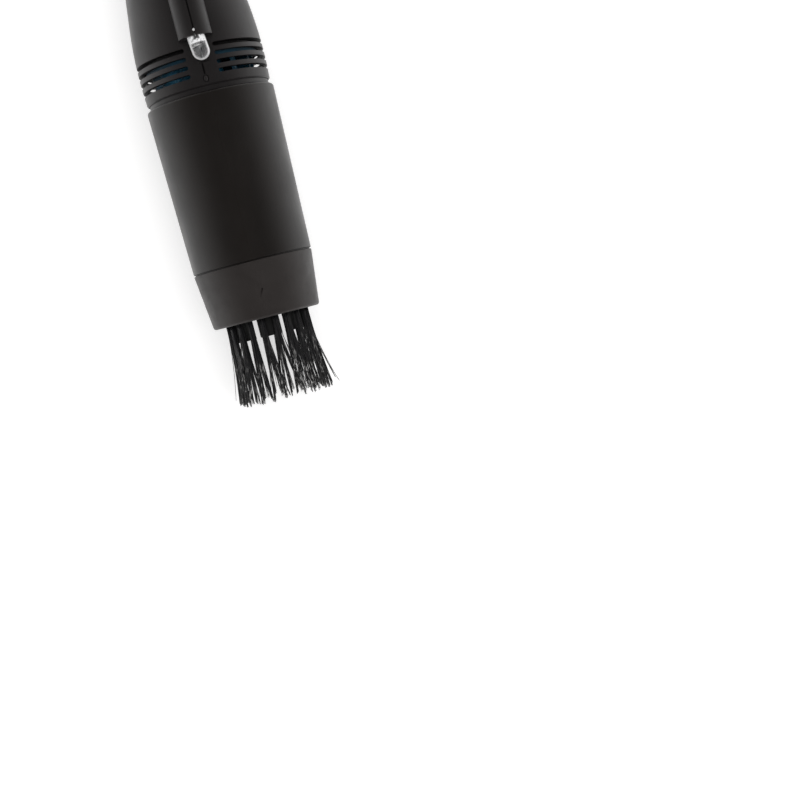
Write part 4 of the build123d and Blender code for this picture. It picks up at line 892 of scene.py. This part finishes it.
def filter_cloth():
    """Cloth pocket drawn over the cage, which dips between the ribs and puckers round its front."""
    length = CLOTH_FRONT - CLOTH_BACK
    taper = CLOTH_TIP_RADIUS - CLOTH_ROOT_RADIUS
    outside = []
    for row in range(CLOTH_ROWS + 1):
        share = row / CLOTH_ROWS
        outside.append((CLOTH_BACK + length * share, CLOTH_ROOT_RADIUS + taper * share))
    face = CLOTH_FRONT + CLOTH_FACE
    front = [(face, CLOTH_TIP_RADIUS * share) for share in CLOTH_FACE_SHARES]
    inside = [(face - CLOTH_THICKNESS, radius) for _, radius in reversed(front)]
    inside += [(station, radius - CLOTH_THICKNESS) for station, radius in reversed(outside)]

    def drawn(station, radius, angle):
        """The dip between the ribs, and the gathers that run round the front edge and over it."""
        share = min(1.0, max(0.0, cloth_share(station)))
        dip = CLOTH_DIP * math.sin(math.pi * share) * (0.5 - 0.5 * math.cos(CAGE_RIBS * angle))
        gather = math.sin(CLOTH_GATHERS * angle)
        pucker = CLOTH_PUCKER * share**2 * gather * (radius / CLOTH_TIP_RADIUS)
        return station + CLOTH_RIPPLE * pucker * share**4, radius - dip + pucker

    vertices, faces = lathe(outside + front + inside, CLOTH_SEGMENTS, drawn)
    piece = make_piece("filter_pocket", [at(*v) for v in vertices], faces, "filter_white")
    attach(piece, "filter")
    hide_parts("filter_cloth")


filter_cloth()


# Floor, lights and camera


def floor():
    """A plain pale floor that the camera, gloss and glass see a little brighter than it is lit."""
    material = bpy.data.materials.new("floor_pale")
    material.use_nodes = True
    tree = material.node_tree
    shader = tree.nodes["Principled BSDF"]
    shader.inputs["Base Color"].default_value = FLOOR_COLOUR
    shader.inputs["Roughness"].default_value = FLOOR_ROUGHNESS
    shader.inputs["Specular IOR Level"].default_value = 0.0
    shader.inputs["Emission Color"].default_value = (1.0, 1.0, 1.0, 1.0)
    seen = seen_rays(tree)
    lift = tree.nodes.new("ShaderNodeMath")
    lift.operation = "MULTIPLY"
    lift.inputs[1].default_value = FLOOR_LIFT
    tree.links.new(seen, lift.inputs[0])
    tree.links.new(lift.outputs[0], shader.inputs["Emission Strength"])
    size = FLOOR_HALF
    mesh = bpy.data.meshes.new("floor")
    corners = [(-size, -size, 0), (size, -size, 0), (size, size, 0), (-size, size, 0)]
    mesh.from_pydata(corners, [], [(0, 1, 2, 3)])
    mesh.materials.append(material)
    plane = bpy.data.objects.new("floor", mesh)
    bpy.context.scene.collection.objects.link(plane)


def seen_rays(tree):
    """1 for rays from the camera, from gloss and through glass, and 0 for the light that falls."""
    path = tree.nodes.new("ShaderNodeLightPath")
    total = path.outputs["Is Camera Ray"]
    for name in ("Is Glossy Ray", "Is Transmission Ray"):
        most = tree.nodes.new("ShaderNodeMath")
        most.operation = "MAXIMUM"
        tree.links.new(total, most.inputs[0])
        tree.links.new(path.outputs[name], most.inputs[1])
        total = most.outputs[0]
    return total


def world():
    """Studio surroundings: bright all round at the level of the tool and dark overhead."""
    scene_world = bpy.data.worlds.new("studio")
    scene_world.use_nodes = True
    tree = scene_world.node_tree
    direction = tree.nodes.new("ShaderNodeTexCoord")
    height = tree.nodes.new("ShaderNodeSeparateXYZ")
    fade = tree.nodes.new("ShaderNodeValToRGB")
    while len(fade.color_ramp.elements) < len(SKY_STOPS):
        fade.color_ramp.elements.new(0.5)
    for element, (place, level) in zip(fade.color_ramp.elements, SKY_STOPS):
        element.position = place
        element.color = (*shade(SKY_TINT, level), 1.0)
    tree.links.new(direction.outputs["Generated"], height.inputs["Vector"])
    tree.links.new(height.outputs["Z"], fade.inputs["Fac"])
    tree.links.new(fade.outputs["Color"], tree.nodes["Background"].inputs["Color"])
    bpy.context.scene.world = scene_world


def softbox(name, place, target, size, power):
    """A square area lamp turned to a target, which leaves the gloss to the surroundings."""
    lamp = bpy.data.lights.new(name, "AREA")
    lamp.size = size
    lamp.energy = power
    holder = bpy.data.objects.new(name, lamp)
    holder.location = place
    holder.visible_glossy = False
    aim = Vector(target) - Vector(place)
    holder.rotation_euler = aim.to_track_quat("-Z", "Y").to_euler()
    bpy.context.scene.collection.objects.link(holder)


def camera():
    """The photograph's view: nearly straight down on the tool's front half."""
    right = Vector(CAMERA_RIGHT)
    up = Vector(CAMERA_UP)
    back = right.cross(up)
    turn = Matrix((right, up, back)).transposed().to_4x4()
    data = bpy.data.cameras.new("photo_view")
    data.lens = CAMERA_LENS
    data.sensor_width = CAMERA_SENSOR
    data.clip_start = CAMERA_NEAR
    view = bpy.data.objects.new("photo_view", data)
    view.matrix_world = Matrix.Translation(CAMERA_PLACE) @ turn
    bpy.context.scene.collection.objects.link(view)
    bpy.context.scene.camera = view


floor()
world()
softbox("key_box", KEY_PLACE, KEY_TARGET, KEY_SIZE, KEY_POWER)
camera()
bpy.context.scene.view_settings.view_transform = "Standard"
